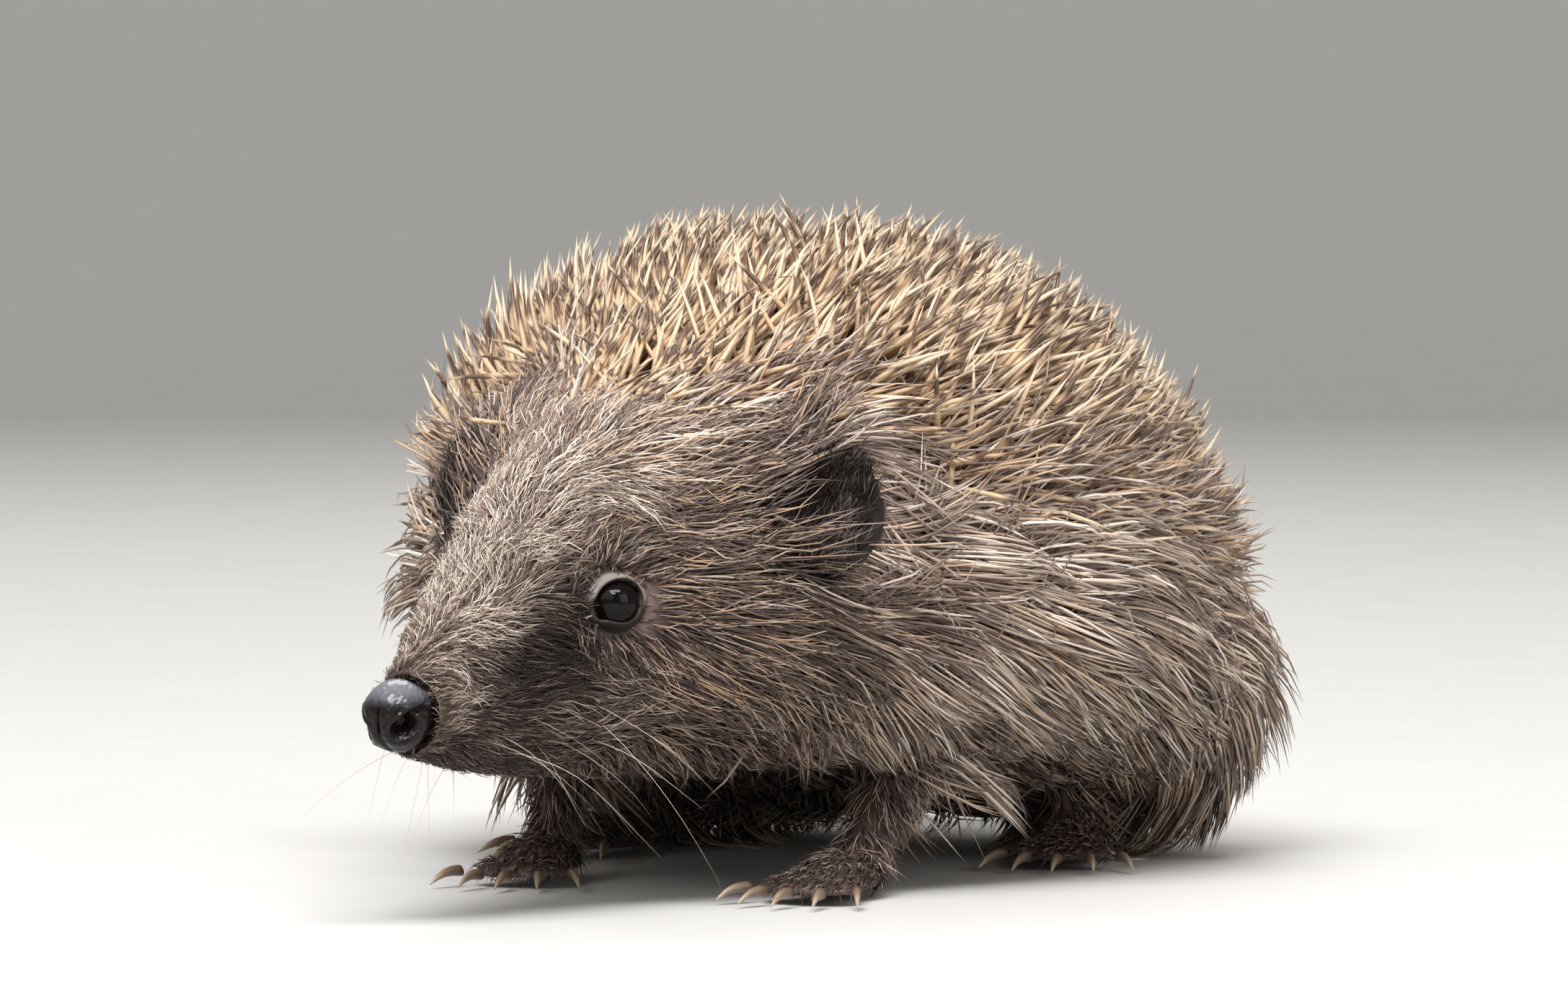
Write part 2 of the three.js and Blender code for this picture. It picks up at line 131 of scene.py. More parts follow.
# How deep the skin lies below the outside of the coat.
FUR_DEPTH = ramp_line([5, 0.2], [9, 0.6], [14, 1.0], [22, 1.3], [32, 1.8], [40, 2.8], [47, 4.0], [56, 6.0],
                      [66, 8.0], [150, 8.5])
SPINE_DEPTH = ramp_line([36, 2.6], [42, 5.5], [50, 9.0], [60, 11.5], [72, 12.5], [154, 12.5])
BELLY_DEPTH = ramp_line([5, 0.2], [20, 1.3], [40, 2.6], [70, 4], [154, 4.5])
# Nearer to an eye or ear than the second distance the coat is at most as deep as both depths together,
# and within the first distance at most as deep as the first.
EYE_THIN, EYE_COAT = (3, 9), (0.3, 1.6)
EAR_THIN, EAR_COAT = (7.5, 17), (2.2, 11)
FUR_LENGTH = ramp_line([5, 1.6], [10, 3.0], [16, 4.4], [24, 6.2], [32, 9], [40, 12.5], [48, 15.5],
                       [58, 18], [70, 20], [154, 20])
SPINE_LENGTH = ramp_line([37, 7], [42, 12], [48, 16], [58, 19], [75, 21], [154, 21])


# ---- Places along the spine ----
def centre(node):
    low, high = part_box(node)
    return np.array((low + high) / 2) / MM


NOSE = centre("nose")
EYES = {side: centre(f"eye_{side}") for side in SIDES}
EARS = {side: centre(f"ear_{side}") for side in SIDES}
FACING = NOSE - (EYES["left"] + EYES["right"]) / 2
HEAD_TURN = math.atan2(-FACING[0], -FACING[1])
BEND_RADIUS = (NECK_BEND[1] - NECK_BEND[0]) / HEAD_TURN
BEND_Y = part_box("trunk")[1].y / MM - (BODY_LENGTH - NECK_BEND[1])


def axes_at(turn):
    """The unit vectors back and left where the spine is turned by that angle."""
    zero = np.zeros_like(turn)
    back = np.stack([np.sin(turn), np.cos(turn), zero], -1)
    left = np.stack([np.cos(turn), -np.sin(turn), zero], -1)
    return back, left


def to_body(points):
    """[behind, side, height] of each point."""
    points = np.asarray(points, float)
    turn = np.clip(np.arctan2(BEND_Y - points[..., 1], points[..., 0] + BEND_RADIUS), 0, HEAD_TURN)
    back, left = axes_at(turn)
    on_arc = [BEND_RADIUS * (np.cos(turn) - 1), BEND_Y - BEND_RADIUS * np.sin(turn), 0 * turn]
    off = points - np.stack(on_arc, -1)
    behind = NECK_BEND[1] - BEND_RADIUS * turn + (off * back).sum(-1)
    return np.stack([behind, (off * left).sum(-1), points[..., 2]], -1)


def body_direction(behind, back, left, up):
    """Unit vectors with these shares of the body's own directions."""
    turn = np.clip((NECK_BEND[1] - np.asarray(behind, float)) / BEND_RADIUS, 0, HEAD_TURN)
    backs, lefts = axes_at(turn)
    shares = [np.broadcast_to(share, np.shape(behind))[..., None] for share in (back, left, up)]
    return unit(backs * shares[0] + lefts * shares[1] + UP * shares[2])


# ---- Meshes as arrays ----
def linked(name, data):
    """A new object in the scene."""
    made = bpy.data.objects.new(name, data)
    bpy.context.scene.collection.objects.link(made)
    return made


def move_vertices(mesh, points):
    mesh.vertices.foreach_set("co", (points * MM).astype(np.float32).ravel())


def smooth_shaded(mesh):
    mesh.polygons.foreach_set("use_smooth", np.ones(len(mesh.polygons), bool))


def mesh_object(name, vertices, triangles, material=None):
    """An object from arrays of millimetres and corner numbers; with a material it is smooth-shaded."""
    mesh = bpy.data.meshes.new(name)
    mesh.vertices.add(len(vertices))
    move_vertices(mesh, vertices)
    mesh.loops.add(triangles.size)
    mesh.loops.foreach_set("vertex_index", triangles.astype(np.int32).ravel())
    mesh.polygons.add(len(triangles))
    mesh.polygons.foreach_set("loop_start", np.arange(0, triangles.size, 3, dtype=np.int32))
    mesh.update(calc_edges=True)
    if material:
        smooth_shaded(mesh)
        mesh.materials.append(material)
    return linked(name, mesh)


def rows(parts, field, width, kind):
    """One field of all of a mesh's parts, a row to each."""
    values = np.empty(len(parts) * width, kind)
    parts.foreach_get(field, values)
    return values.reshape(-1, width)


def read_mesh(mesh):
    """The vertices in millimetres, the triangles, and the vertex normals of a mesh."""
    mesh.calc_loop_triangles()
    return (rows(mesh.vertices, "co", 3, np.float32).astype(float) / MM,
            rows(mesh.loop_triangles, "vertices", 3, np.int32),
            rows(mesh.vertex_normals, "vector", 3, np.float32).astype(float))


def edges_of(mesh):
    return rows(mesh.edges, "vertices", 2, np.int32)


def evened(values, edges, rounds, share=0.5):
    """Values drawn towards the mean of their neighbours, as many times as rounds says."""
    count = len(values)
    ends = np.concatenate([edges, edges[:, ::-1]])
    degree = np.maximum(np.bincount(ends[:, 0], minlength=count), 1)
    columns = np.asarray(values, float).reshape(count, -1).copy()
    for _ in range(rounds):
        for column in columns.T:
            mean = np.bincount(ends[:, 0], weights=column[ends[:, 1]], minlength=count) / degree
            column += share * (mean - column)
    return columns.reshape(np.shape(values))


def set_float(mesh, name, values):
    attribute = mesh.attributes.new(name, "FLOAT", "POINT")
    attribute.data.foreach_set("value", np.asarray(values, np.float32))


def node_arrays(name, swell=0.0):
    """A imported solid's welded vertices, swollen outwards, and its triangles."""
    work = bmesh.new()
    work.from_mesh(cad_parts[name].data)
    bmesh.ops.remove_doubles(work, verts=work.verts, dist=1e-6)
    bmesh.ops.triangulate(work, faces=work.faces)
    mesh = bpy.data.meshes.new(name + "_work")
    work.to_mesh(mesh)
    work.free()
    vertices, triangles, normals = read_mesh(mesh)
    bpy.data.meshes.remove(mesh)
    return vertices + normals * swell, triangles


def joined(arrays):
    vertices, triangles, start = [], [], 0
    for these, faces in arrays:
        vertices.append(these)
        triangles.append(faces + start)
        start += len(these)
    return np.concatenate(vertices), np.concatenate(triangles)


def distances(arrays, points):
    """How far each point is from the solids."""
    vertices, triangles = joined(arrays)
    tree = BVHTree.FromPolygons(vertices.tolist(), triangles.tolist())
    return np.array([tree.find_nearest(Vector(point))[3] for point in points])


def voxelled(vertices, triangles, size):
    """One closed mesh round everything, of even quads."""
    rough = mesh_object("rough", vertices, triangles)
    voxels = rough.modifiers.new("voxels", "REMESH")
    voxels.mode = "VOXEL"
    voxels.voxel_size = size * MM
    evaluated = rough.evaluated_get(bpy.context.evaluated_depsgraph_get())
    mesh = bpy.data.meshes.new_from_object(evaluated)
    bpy.data.objects.remove(rough)
    return mesh


# ---- The outline of the body, measured on the solids ----
class Outline:
    """The highest, lowest and widest lines of the coat, from stations along the spine."""

    STEP = 2.0
    WIDE = 0.96  # the share of the half width from which a place counts as widest

    def __init__(self, vertices):
        behind, side, height = to_body(vertices).T
        station = np.clip(np.round(behind / self.STEP).astype(int), 0, int(BODY_LENGTH / self.STEP))
        count = station.max() + 1
        self.top = self.gather(np.maximum, station, height, count, -np.inf)
        self.bottom = self.gather(np.minimum, station, height, count, np.inf)
        self.half = self.gather(np.maximum, station, np.abs(side), count, 0.5)
        wide = np.abs(side) > self.WIDE * self.half[station]
        total = np.bincount(station[wide], weights=height[wide], minlength=count)
        self.widest = self.settled(total / np.maximum(np.bincount(station[wide], minlength=count), 1))

    def gather(self, chosen, station, values, count, start):
        line = np.full(count, start)
        chosen.at(line, station, values)
        return self.settled(line)

    def settled(self, line):
        padded = np.pad(line, 2, mode="edge")
        return np.convolve(padded, np.ones(5) / 5, mode="valid")

    def at(self, line, behind):
        return np.interp(behind / self.STEP, np.arange(len(line)), line)

    def angle(self, place):
        """Degrees above the widest line: 90 on the ridge of the back and -90 on the belly's middle."""
        behind, side, height = place.T
        widest = self.at(self.widest, behind)
        above, below = self.at(self.top, behind) - widest, widest - self.at(self.bottom, behind)
        reach = np.where(height > widest, above, below)
        across = np.abs(side) / self.at(self.half, behind)
        return np.degrees(np.arctan2((height - widest) / np.maximum(reach, 1), np.maximum(across, 1e-3)))


def spiny(behind, angle):
    """From 0 in the fur to 1 among the spines."""
    above = smooth_step(-EDGE_WIDTH, EDGE_WIDTH, angle - SPINE_EDGE(behind))
    return above * smooth_step(*FIRST_SPINES, behind)


def coat_depth(behind, angle):
    under = smooth_step(*BELLY, angle)
    fur = FUR_DEPTH(behind) * (1 - under) + BELLY_DEPTH(behind) * under
    share = spiny(behind, angle)
    return fur * (1 - share) + SPINE_DEPTH(behind) * share


# ---- Skin ----
BODY, EAR, LEG, FOOT, TAIL = range(5)
FLESH = {
    BODY: BODY_NODES,
    EAR: EAR_NODES,
    LEG: [f"leg_{limb}" for limb in LIMBS],
    FOOT: [f"foot_{limb}" for limb in LIMBS],
    TAIL: ["tail"],
}
SHORT_COAT = {LEG: 1.4, TAIL: 1.4, FOOT: 0.5, EAR: 0.1}  # the depth of the coat there


class Places:
    """Places on the skin, with what the coat there depends on."""

    FIELDS = ("point", "normal", "behind", "angle", "sign", "depth", "kind")

    def __init__(self, **fields):
        for name in self.FIELDS:
            setattr(self, name, fields[name])

    def __len__(self):
        return len(self.point)

    def take(self, chosen):
        return Places(**{name: getattr(self, name)[chosen] for name in self.FIELDS})


def distance_to(spots, points):
    """How far each point is from the nearer of the two eyes or ears."""
    return np.min([np.linalg.norm(points - spot, axis=1) for spot in spots.values()], axis=0)


def ear_hollow(points, normals):
    """1 inside the cup of an ear and 0 outside it."""
    inside = np.zeros(len(points))
    for side, sign in SIDES.items():
        off = points - EARS[side]
        share = np.hypot(off[:, 1] / EAR_OPENING[0], off[:, 2] / EAR_OPENING[1])
        facing = smooth_step(-0.1, 0.3, normals[:, 0] * sign) * (np.abs(off[:, 0]) < EAR_SIDE)
        inside = np.maximum(inside, smooth_step(1.06, 0.9, share) * facing)
    return inside


def sunk_flesh():
    """The solids of flesh as one closed mesh, sunk by the depth of the coat, and its places."""
    groups = {kind: [node_arrays(node, GAP_CLOSER if kind != EAR else GAP_CLOSER / 2) for node in nodes]
              for kind, nodes in FLESH.items()}
    mesh = voxelled(*joined(sum(groups.values(), [])), ROUGH_VOXEL)
    vertices, triangles, _ = read_mesh(mesh)
    edges = edges_of(mesh)
    bpy.data.meshes.remove(mesh)
    kind = np.argmin([distances(group, vertices) for group in groups.values()], axis=0)
    outline = Outline(vertices[kind == BODY])
    place = to_body(vertices)
    angle = outline.angle(place)
    depth = coat_depth(place[:, 0], angle)
    near_eye = distance_to(EYES, vertices)
    thin = EYE_COAT[0] + EYE_COAT[1] * smooth_step(*EYE_THIN, near_eye)
    depth = np.where(near_eye < EYE_THIN[1], np.minimum(depth, thin), depth)
    thin = EAR_COAT[0] + EAR_COAT[1] * smooth_step(*EAR_THIN, distance_to(EARS, vertices))
    depth = np.minimum(depth, thin)
    for short, of_it in SHORT_COAT.items():
        depth = np.where(kind == short, of_it, depth)
    depth = evened(depth, edges, rounds=6)
    vertices = evened(vertices, edges, rounds=6)
    smooth = mesh_object("smooth", vertices, triangles)
    normals = unit(evened(read_mesh(smooth.data)[2], edges, rounds=4))
    bpy.data.objects.remove(smooth)
    sunk = vertices - normals * (depth + GAP_CLOSER)[:, None]
    places = Places(point=sunk, normal=normals, behind=place[:, 0], angle=angle, depth=depth, kind=kind,
                    sign=np.where(place[:, 1] > 0, 1.0, -1.0))
    return triangles, places


def refined(mesh, reached):
    """Splits the faces whose corners are all within reach, in place."""
    work = bmesh.new()
    work.from_mesh(mesh)
    inside = reached(np.array([vertex.co for vertex in work.verts]) / MM)
    faces = [face for face in work.faces if all(inside[vertex.index] for vertex in face.verts)]
    edges = list({edge for face in faces for edge in face.edges})
    bmesh.ops.subdivide_edges(work, edges=edges, cuts=1, use_grid_fill=True)
    work.to_mesh(mesh)
    work.free()


def above_mouth(place):
    """How far above the mouth's line a place is, and how fully it is within the mouth's stretch."""
    behind, _, height = place.T
    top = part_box("lower_jaw")[1].z / MM
    places, heights = np.transpose(MOUTH)
    line = np.interp(behind, places, top + heights)
    return height - line, smooth_step(6, 10, behind) * smooth_step(31, 27, behind)


def near_mouth(points):
    above, within = above_mouth(to_body(points))
    return (np.abs(above) < MOUTH_REFINED) & (within > 0)


def nose_frame():
    """The directions left, ahead and up of the nose."""
    back, left = axes_at(np.array(HEAD_TURN))
    return left, -back, UP


def eye_frame(side):
    """The eye's axis, and the forward and upward directions across it."""
    back, left, up = EYE_AXIS
    axis = body_direction(np.array(EYE_PLACE), back, left * SIDES[side], up)
    upward = unit(UP - axis * (UP @ axis))
    return axis, np.cross(axis, upward) * SIDES[side], upward


def eye_place(side, points):
    """How far from the eye's axis, where 1 is the edge of the opening, then height, across and up."""
    axis, along, upward = eye_frame(side)
    off = points - EYES[side]
    across, high = off @ along, off @ upward
    turn = np.degrees(np.arctan2(high, across))
    corner = 1 + INNER_CORNER[2] * hump(turn, *INNER_CORNER[:2])
    return np.hypot(across / EYE_OPENING[0], high / EYE_OPENING[1]) / corner, off @ axis, across, high


def upper_lid(high):
    """1 on the upper lid and 0 on the lower."""
    return smooth_step(-1.2, 0.8, high)


def sculpt_lids(vertices, side):
    """Draws the skin over the eye into two lids, thick above and thin below, with a fold round each."""
    axis, along, upward = eye_frame(side)
    share, height, across, high = eye_place(side, vertices)
    near = (np.linalg.norm(vertices - EYES[side], axis=1) < 7) & (height > -3) & (share < 2.2)
    snap = np.where((share > 0.9) & (share < 1.0), 0.985 / np.maximum(share, 0.5), 1.0)
    snap = np.where((share >= 1.0) & (share < 1.08), 1.0 / np.maximum(share, 0.5), snap)
    share, across, high = share * snap, across * snap, high * snap
    radius = np.hypot(across, high) / np.maximum(share, 1e-6)
    rim = np.sqrt(EYE_RADIUS ** 2 - np.minimum(radius, EYE_RADIUS * 0.97) ** 2)
    above = upper_lid(high)
    ridge = (LID_RIDGE[0] + LID_RIDGE[1] * above) * smooth_step(0.97, 1.08, share)
    ridge = ridge * (1 - smooth_step(1.1 + 0.18 * above, 1.28 + 0.26 * above, share))
    fold = -(LID_FOLD[0] - LID_FOLD[1] * above) * hump(share - FOLD_PLACE[0], FOLD_PLACE[1] * above, 0.14)
    base = rim + (height - rim) * smooth_step(1.1, 1.75, share)
    target = base + ridge + fold
    target = np.where(share < 1.0, rim - np.where(radius > EYE_RADIUS, 0.25, 1.4), target)
    moved = EYES[side] + along * across[:, None] + upward * high[:, None] + axis * target[:, None]
    return np.where(near[:, None], moved, vertices)


def sculpt_ears(vertices, normals):
    """Deepens the hollows of the ears, and lays a curved fold into each."""
    for side, sign in SIDES.items():
        off = vertices - EARS[side]
        back, up = off[:, 1] / EAR_OPENING[0], off[:, 2] / EAR_OPENING[1]
        share = np.hypot(back, up)
        facing = (normals[:, 0] * sign > -0.3) & (np.abs(off[:, 0]) < EAR_SIDE)
        sunk = EAR_DEPTH * smooth_step(0.92, 0.45, share)
        fold = 1.1 * hump(share, 0.52, 0.1) * smooth_step(-0.2, 0.3, back - 0.5 * up)
        lobe = 0.9 * np.exp(-((back + 0.15) / 0.2) ** 2 - ((up + 0.5) / 0.25) ** 2)
        inward = np.array(EAR_INWARD) * (sign, 1, 1)
        vertices = vertices + np.where(facing, sunk - fold - lobe, 0)[:, None] * inward
    return vertices


def fill_round_nose(vertices):
    """Widens the end of the muzzle and draws it forward, so that it holds the back of the nose."""
    _, ahead, _ = nose_frame()
    off = vertices - NOSE
    round_axis = off - ahead * (off @ ahead)[:, None]
    radius = np.linalg.norm(round_axis, axis=1)
    behind = to_body(vertices)[:, 0]
    outside = smooth_step(*NOSE_AXIS_GAP, radius)
    short = np.maximum(np.interp(behind, *np.transpose(MUZZLE_RIM)) - radius, 0) * outside
    forward = MUZZLE_REACH * smooth_step(11, 6, behind) * outside
    return vertices + unit(round_axis) * short[:, None] + ahead * forward[:, None]


def nearest_in(points, wanted):
    """For each wanted point, the number of the nearest of the points."""
    tree = KDTree(len(points))
    for index, point in enumerate(points):
        tree.insert(point, index)
    tree.balance()
    return np.array([tree.find(point)[1] for point in wanted])


def make_skin():
    triangles, sunk = sunk_flesh()
    mesh = voxelled(sunk.point, triangles, SKIN_VOXEL)
    vertices, _, _ = read_mesh(mesh)
    move_vertices(mesh, evened(vertices, edges_of(mesh), rounds=3))
    refined(mesh, near_mouth)
    refined(mesh, lambda points: distance_to(EARS, points) < EAR_REFINED)
    for reach in EYE_REFINED:
        refined(mesh, lambda points: distance_to(EYES, points) < reach)
    vertices, _, normals = read_mesh(mesh)
    origin = nearest_in(sunk.point, vertices)
    for side in SIDES:
        vertices = sculpt_lids(vertices, side)
    vertices = fill_round_nose(sculpt_ears(vertices, normals))
    above, within = above_mouth(to_body(vertices))
    lips = -LIP_FOLD[0] * hump(above, 0, LIP_FOLD[1]) + LIP_SWELL[0] * hump(above, *LIP_SWELL[1:])
    move_vertices(mesh, vertices + normals * (lips * within)[:, None])
    smooth_shaded(mesh)
    mesh.update()
    mesh.name = "skin"
    made = linked("skin", mesh)
    places = sunk.take(origin)
    places.point, _, places.normal = read_mesh(mesh)
    return made, places


skin, SKIN = make_skin()
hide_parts(*sum(FLESH.values(), []))
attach(skin, "root")


# ---- Markings ----
HEAD_MARK = 0.48  # how pale the coat is, from 0, dark brown, to 1, cream
BODY_PALER = 0.08
FLANK_PALER = 0.32
EAR_MARK = -0.12
LIMB_MARK = 0.34
# Where the coat is darker or paler: from and to behind the nose, from and to in degrees, and how pale.
MARKS = [
    (-9, 22, -100, 10, 0.3),
    (20, 34, -60, 10, 0.48),
    (14, 46, 24, 60, 0.72),
    (9, 44, 44, 100, 0.9),
    (12, 27, 4, 34, 0.0),
    (34, 50, 4, 44, 0.55),
    (8, 60, -100, -55, 0.26),
    # The next two rows darken the belly and the lower rump: painted shade under the body.
    (56, 160, -100, -62, 0.12),
    (112, 160, -100, 0, 0.3),
]
MARK_EDGES = (4, 15)  # over how many millimetres and degrees a mark fades
EAR_SHADE = (0.16, 0.8)  # painted shade in front of an ear: how pale the coat is there, and how far it gets there
BY_EYE = (0.32, 0.6)


def marking(places):
    """How pale the coat is at each place."""
    behind, angle = places.behind, places.angle
    flank = window(behind, 50, 82, 6) * window(angle, -5, 40, 12)
    mark = HEAD_MARK + BODY_PALER * smooth_step(45, 65, behind) + FLANK_PALER * flank
    for low_b, high_b, low_a, high_a, target in MARKS:
        share = window(behind, low_b, high_b, MARK_EDGES[0]) * window(angle, low_a, high_a, MARK_EDGES[1])
        mark = mark + (target - mark) * share
    # Painted shade: the coat is darkened round the front of each ear.
    ear = smooth_step(10.5, 6, distance_to(EARS, places.point)) * smooth_step(54, 48, behind)
    ear = ear * smooth_step(7, 1, places.point[:, 2] - EARS["left"][2])
    eye = smooth_step(6.5, 4, distance_to(EYES, places.point))
    for near, (target, share) in ((ear, EAR_SHADE), (eye, BY_EYE)):
        mark = mark + (target - mark) * near * share
    return np.where(places.kind == BODY, mark, np.where(places.kind == EAR, EAR_MARK, LIMB_MARK))


# ---- Strands ----
def scatter(count, weight, rng):
    """Places at random on the skin, as dense as the weight of each corner says."""
    corners = SKIN_TRIANGLES
    area = np.linalg.norm(np.cross(SKIN.point[corners[:, 1]] - SKIN.point[corners[:, 0]],
                                   SKIN.point[corners[:, 2]] - SKIN.point[corners[:, 0]]), axis=1) / 2
    share = area * weight[corners].mean(axis=1)
    chosen = rng.choice(len(corners), size=count, p=share / share.sum())
    shares = rng.dirichlet((1, 1, 1), size=count)
    nearest = corners[chosen, 0]
    places = SKIN.take(nearest)
    for name in ("point", "normal", "behind", "angle", "depth"):
        values = getattr(SKIN, name)[corners[chosen]]
        mixed = (values * shares.reshape(count, 3, *([1] * (values.ndim - 2)))).sum(axis=1)
        setattr(places, name, mixed)
    places.normal = unit(places.normal)
    return places


def spaced(places, gap):
    """The places that are left when none is nearer than the gap to one before it."""
    cells = {}
    kept = []
    keys = np.floor(places.point / gap).astype(int)
    near = [(x, y, z) for x in (-1, 0, 1) for y in (-1, 0, 1) for z in (-1, 0, 1)]
    for index, (key, point) in enumerate(zip(keys.tolist(), places.point.tolist())):
        others = (cells.get((key[0] + x, key[1] + y, key[2] + z)) for x, y, z in near)
        if all(other is None or math.dist(other, point) >= gap for other in others):
            cells[tuple(key)] = point
            kept.append(index)
    return places.take(np.array(kept))


def varied(values, low, high, rng):
    """The values, each times a share of its own between low and high."""
    return values * rng.uniform(low, high, len(values))


def tangent(directions, normals):
    return unit(directions - normals * (directions * normals).sum(-1, keepdims=True))


def turned(directions, normals, angles):
    """The directions turned about the normals."""
    across = np.cross(normals, directions)
    return directions * np.cos(angles)[:, None] + across * np.sin(angles)[:, None]


STEEPEST = 0.92  # the most a strand rises, as a share of its length


def strand_paths(places, lie, length, rise, stations, sag=0.0, bow=0.6, stiff=False):
    """The line of each strand: it leaves the skin steeply and lies down along the coat."""
    t = steps(stations)
    rise = np.minimum(rise, length * STEEPEST)
    run = np.sqrt(length ** 2 - rise ** 2)
    drop = run ** 2 / BODY_CURVE / 2
    if stiff:
        rise, drop = rise - drop, drop * 0
    height = rise[:, None, None] * (1 - (1 - t) ** (1 + bow)) - drop[:, None, None] * t ** 2
    up = places.normal[:, None] * height
    along = lie[:, None] * (run[:, None, None] * t ** (1 + bow * 0.3))
    hang = UP * (np.broadcast_to(sag, length.shape)[:, None, None] * t ** 2)
    return places.point[:, None] + up + along - hang


def wavy(paths, amount, rng):
    """The strands with a bend of their own to either side."""
    count, stations, _ = paths.shape
    t = steps(stations)
    for turns in (0.5, 1.1):
        sway = rng.normal(size=(count, 1, 3)) * np.broadcast_to(amount, count)[:, None, None]
        paths = paths + sway * t * np.sin(t * turns * math.tau + rng.uniform(0, 6, (count, 1, 1)))
    return paths


def gathered(paths, guides, share, power=1.3):
    """The strands drawn together at their tips, each towards the guide whose root is nearest."""
    nearest = nearest_in(guides[:, 0], paths[:, 0])
    pull = np.broadcast_to(share, len(paths))[:, None, None] * steps(paths.shape[1]) ** power
    return paths + (guides[nearest] - paths) * pull


def strand_mesh(name, material, paths, radii, sides, places, tone, mark):
    """One mesh of pointed, closed strands, with what their material reads."""
    count, stations, _ = paths.shape
    paths = paths.copy()
    paths[..., 2] = np.maximum(paths[..., 2], GROUND)
    heading = unit(np.gradient(paths, axis=1))
    across = unit(np.cross(heading[:, stations // 2], places.normal))[:, None]
    lifted = unit(np.cross(across, heading))
    turn = (np.arange(sides) * math.tau / sides)[None, None, :, None]
    rings = (paths[:, :-1, None] + radii[:, :-1, None, None]
             * (np.cos(turn) * across[:, :, None] + np.sin(turn) * lifted[:, :-1, None]))
    vertices = np.concatenate([rings.reshape(count, -1, 3), paths[:, -1:]], axis=1)
    corners, spots = strand_faces(stations, sides)
    each = vertices.shape[1]
    triangles = (corners[None] + (np.arange(count) * each)[:, None, None]).reshape(-1, 3)
    made = mesh_object(name, vertices.reshape(-1, 3), triangles, material)
    mesh = made.data
    along = np.append(np.repeat(np.arange(stations - 1), sides), stations - 1) / (stations - 1)
    set_float(mesh, "along", np.tile(along, count))
    set_float(mesh, "tone", np.repeat(tone, each))
    set_float(mesh, "mark", np.repeat(mark, each))
    flat = unwrapped(places)[:, None, None] + spots[None] * STRAND_PATCH
    layer = mesh.uv_layers.new(name="OFBake")
    layer.uv.foreach_set("vector", flat.astype(np.float32).ravel())
    return made


def strand_faces(stations, sides):
    """The triangles of one strand, and each corner's place in the strand's patch of the map."""
    corners, spots = [], []

    def face(*around):
        corners.append([min(ring * sides + spot % sides, (stations - 1) * sides) for ring, spot in around])
        spots.append([(spot / sides, ring / (stations - 1)) for ring, spot in around])

    for ring in range(stations - 2):
        for side in range(sides):
            face((ring, side), (ring, side + 1), (ring + 1, side + 1))
            face((ring, side), (ring + 1, side + 1), (ring + 1, side))
    for side in range(sides):
        face((stations - 2, side), (stations - 2, side + 1), (stations - 1, 0))
    for side in range(1, sides - 1):
        face((0, 0), (0, side + 1), (0, side))
    return np.array(corners), np.array(spots)


STRAND_PATCH = 0.003  # the size of each strand's part of the map
MAP_MARGIN = 0.01
MAP_LENGTH = 0.79  # of the body's part of the map
MAP_HEIGHT = 0.96
LIMB_CELL = 0.82  # the limbs' and ears' part of the map starts here
LIMB_COLUMN = 0.035
LIMB_WIDTH = 0.02
LIMB_TOP = 60  # the height on the model that reaches the edge of the map
LIMB_ROW = 0.45


def unwrapped(places):
    """The place of each root on a flat map of the skin."""
    u = MAP_MARGIN + MAP_LENGTH * np.clip(places.behind / BODY_LENGTH, 0, 1)
    v = 0.5 + places.sign * (places.angle + 90) / 360 * MAP_HEIGHT
    limb = places.kind != BODY
    outward = smooth_step(-1, 1, places.normal[:, 0] * places.sign)
    column = LIMB_CELL + LIMB_COLUMN * places.kind + LIMB_WIDTH * outward
    up = np.clip(places.point[:, 2] / LIMB_TOP + (places.point[:, 1] > 0) * 0.5, 0, 1)
    row = 0.5 + places.sign * up * LIMB_ROW
    return np.stack([np.where(limb, column, u), np.where(limb, row, v)], axis=-1)


FACES_PER_PIECE = 190_000


def add_coat(name, material, places, paths, thickness, taper, sides, tone):
    """The strands as pieces of a size that can be exported, each from one stretch of the body."""
    t = np.linspace(0, 1, paths.shape[1])
    radii = thickness[:, None] / 2 * np.interp(t, *np.transpose(taper))
    mark = marking(places)
    faces = len(strand_faces(paths.shape[1], sides)[0])
    order = np.argsort(places.behind, kind="stable")
    pieces = math.ceil(len(order) * faces / FACES_PER_PIECE)
    for number, chosen in enumerate(np.array_split(order, pieces)):
        made = strand_mesh(f"{name}_{number + 1}", material, paths[chosen], radii[chosen], sides,
                           places.take(chosen), tone[chosen], mark[chosen])
        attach(made, "root")


# ---- Colour ----
def shade(red, green, blue):
    """A colour given as the screen shows it, for a shader."""
    return tuple(((part / 255 + 0.055) / 1.055) ** 2.4 if part > 10 else part / 255 / 12.92
                 for part in (red, green, blue)) + (1.0,)


